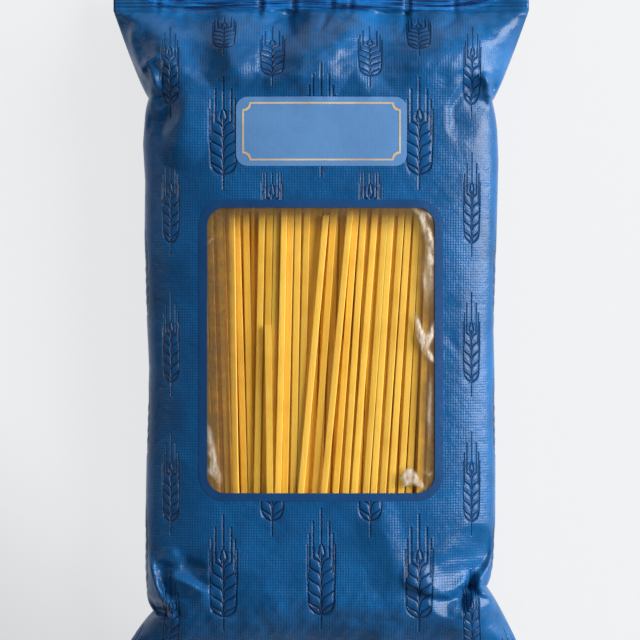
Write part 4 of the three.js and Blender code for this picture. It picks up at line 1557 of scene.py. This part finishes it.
band = ring_plate("window_border", plate_outline(WINDOW, BAND_WIDTH), plate_outline(WINDOW, 0),
                  steps=5, lift=PLATE_LIFT, thickness=0.3)
rule = ring_plate("label_line", plate_outline(RULE, 0), plate_outline(RULE, -RULE_WIDTH),
                  steps=2, lift=RULE_LIFT, thickness=0.1)
label = lay_grid("label_plate", 90, 38, LABEL, 0.4, label_height)
cut_to_outline(label, LABEL, 0, True, label_height)
finish_plate(label, 0.2)
print("band", len(band.data.polygons), "label", len(label.data.polygons), "rule", len(rule.data.polygons))

# %% Finishes of the printed parts


def make_print(name, light, dark, weave_depth, roughness):
    """A smooth field of print: a tone that drifts a little, and a faint weave pressed through."""
    recipe = Recipe(name)
    s = recipe.sum
    place = recipe.node("ShaderNodeTexCoord").outputs["Object"]
    parts = recipe.node("ShaderNodeSeparateXYZ", {0: place}).outputs
    threads = weave(recipe, s("DIVIDE", parts[0], MM), s("DIVIDE", parts[1], MM))
    drift = recipe.noise(place, 35.0, 3.0)
    fine = recipe.noise(place, 900.0, 2.0)
    tone = recipe.blend(recipe.fade(drift, 0.3, 0.7), dark, light)
    # Painted shade: the tone is darker between the threads, by the weave's depth.
    tone = recipe.blend(s("MULTIPLY", s("SUBTRACT", 1.0, threads), weave_depth * 3), tone,
                        tuple(part * 0.7 for part in dark[:3]) + (1,))
    height = s("ADD", s("MULTIPLY", threads, weave_depth), s("MULTIPLY", fine, 0.02))
    height = s("ADD", height, s("MULTIPLY", recipe.noise(place, 160.0, 3.0), 0.12))
    recipe.surface(Base_Color=tone, Normal=recipe.bump(height),
                   Roughness=recipe.fade(fine, 0.3, 0.7, roughness - 0.04, roughness + 0.05))
    return recipe.material


for piece, node, slot, finish in (
    (band, "window_band", "band_print",
     make_print("band_print", (0.006, 0.062, 0.20, 1), (0.0045, 0.048, 0.16, 1), 0.0, 0.34)),
    (label, "label", "label_print",
     make_print("label_print", (0.105, 0.262, 0.545, 1), (0.088, 0.230, 0.495, 1), 0.02, 0.42)),
    (rule, "label_rule", "rule_print",
     make_print("rule_print", (0.70, 0.57, 0.38, 1), (0.50, 0.34, 0.20, 1), 0.0, 0.4)),
):
    piece.data.materials.clear()
    piece.data.materials.append(finish)
    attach(piece, "root")
    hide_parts(node)
    print(piece.name, "stands for", node)

# %% [markdown]
# ## Floor, light and camera
# The packet lies on a plain pale floor. The photograph's light comes from one side: it is bright on
# the right and there are soft shadows on the left. So a large soft light stands low to the right,
# a little towards the top seal, with weak ones round it. One light overhead would be simpler, but
# the glossy front would mirror it into the camera, which looks straight down. Most of the floor's
# paleness is its own glow, because the low light alone would leave it grey and uneven.

# %% The stage
FLOOR_SIZE = 12.0
FLOOR_LEVEL = -0.2

deselect_all()
bpy.ops.mesh.primitive_plane_add(size=FLOOR_SIZE, location=(0, 0, FLOOR_LEVEL * MM))
floor = bpy.context.object
floor.name = "floor"
recipe = Recipe("glowing_floor_paper")
place = recipe.node("ShaderNodeTexCoord").outputs["Object"]
grain = recipe.noise(place, 220.0, 3.0)
parts = recipe.node("ShaderNodeSeparateXYZ", {0: place}).outputs
# Its glow, which is painted light, is a little weaker at the lower left: painted shade.
corner = recipe.fade(recipe.sum("ADD", parts[0], parts[1]), -0.33, -0.17, 0.77, 1.0)
recipe.surface(Base_Color=recipe.blend(grain, (0.095, 0.095, 0.097, 1), (0.107, 0.107, 0.109, 1)),
               Roughness=0.9, Normal=recipe.bump(recipe.sum("MULTIPLY", grain, 0.05)),
               Emission_Color=(0.97, 0.985, 1.0, 1),
               Emission_Strength=recipe.sum("MULTIPLY", corner, 0.765))
floor.data.materials.append(recipe.material)
print("the floor is", FLOOR_SIZE, "m wide")

# %% Lights and the room


def soft_light(name, place, size, power, tone=(1, 1, 1)):
    """An area light that points at the packet. Places and sizes are in metres."""
    light = bpy.data.lights.new(name, "AREA")
    light.shape = "RECTANGLE"
    light.size, light.size_y = size
    light.energy = power
    light.color = tone
    lamp = bpy.data.objects.new(name, light)
    bpy.context.collection.objects.link(lamp)
    lamp.location = place
    lamp.rotation_euler = (-lamp.location).to_track_quat("-Z", "Y").to_euler()


soft_light("key", (2.77, 0.80, 1.36), (2.2, 2.6), 228.0, (1.0, 0.99, 0.97))
soft_light("fill_left", (-1.75, 0.25, 0.85), (0.35, 1.4), 2.2)
soft_light("fill_top", (-0.1, 1.7, 1.5), (2.2, 1.4), 9.0)
soft_light("fill_foot", (0.1, -1.7, 1.2), (1.6, 1.0), 3.0)

world = bpy.data.worlds.new("room")
world.use_nodes = True
background = world.node_tree.nodes["Background"]
background.inputs["Color"].default_value = (0.98, 0.975, 0.97, 1)
background.inputs["Strength"].default_value = 0.08
bpy.context.scene.world = world
bpy.context.scene.view_settings.view_transform = "Standard"
print(len(bpy.data.lights), "lights")

# %% The camera
# It stands over the photograph's middle and looks straight down. The frame's width holds at the
# height of the packet's side edges, which give the outline.
CAMERA_HEIGHT = 1.45
FRAME_WIDTH = 0.3008
FRAME_MIDDLE = (-0.47, 8.93)
camera_data = bpy.data.cameras.new("camera")
camera_data.sensor_width = 36
camera_data.lens = 36 * CAMERA_HEIGHT / FRAME_WIDTH
camera_data.clip_start = 0.05
camera = bpy.data.objects.new("camera", camera_data)
bpy.context.collection.objects.link(camera)
camera.location = (FRAME_MIDDLE[0] * MM, FRAME_MIDDLE[1] * MM, CAMERA_HEIGHT + SIDE_MID * MM)
bpy.context.scene.camera = camera
print("lens", round(camera_data.lens, 1), "mm")

# %% Sizes of the pieces, then finish
pieces = [film, fin, strands, core, pane, band, rule, label]
print("triangles:", {piece.name: sum(len(face.vertices) - 2 for face in piece.data.polygons)
                     for piece in pieces})
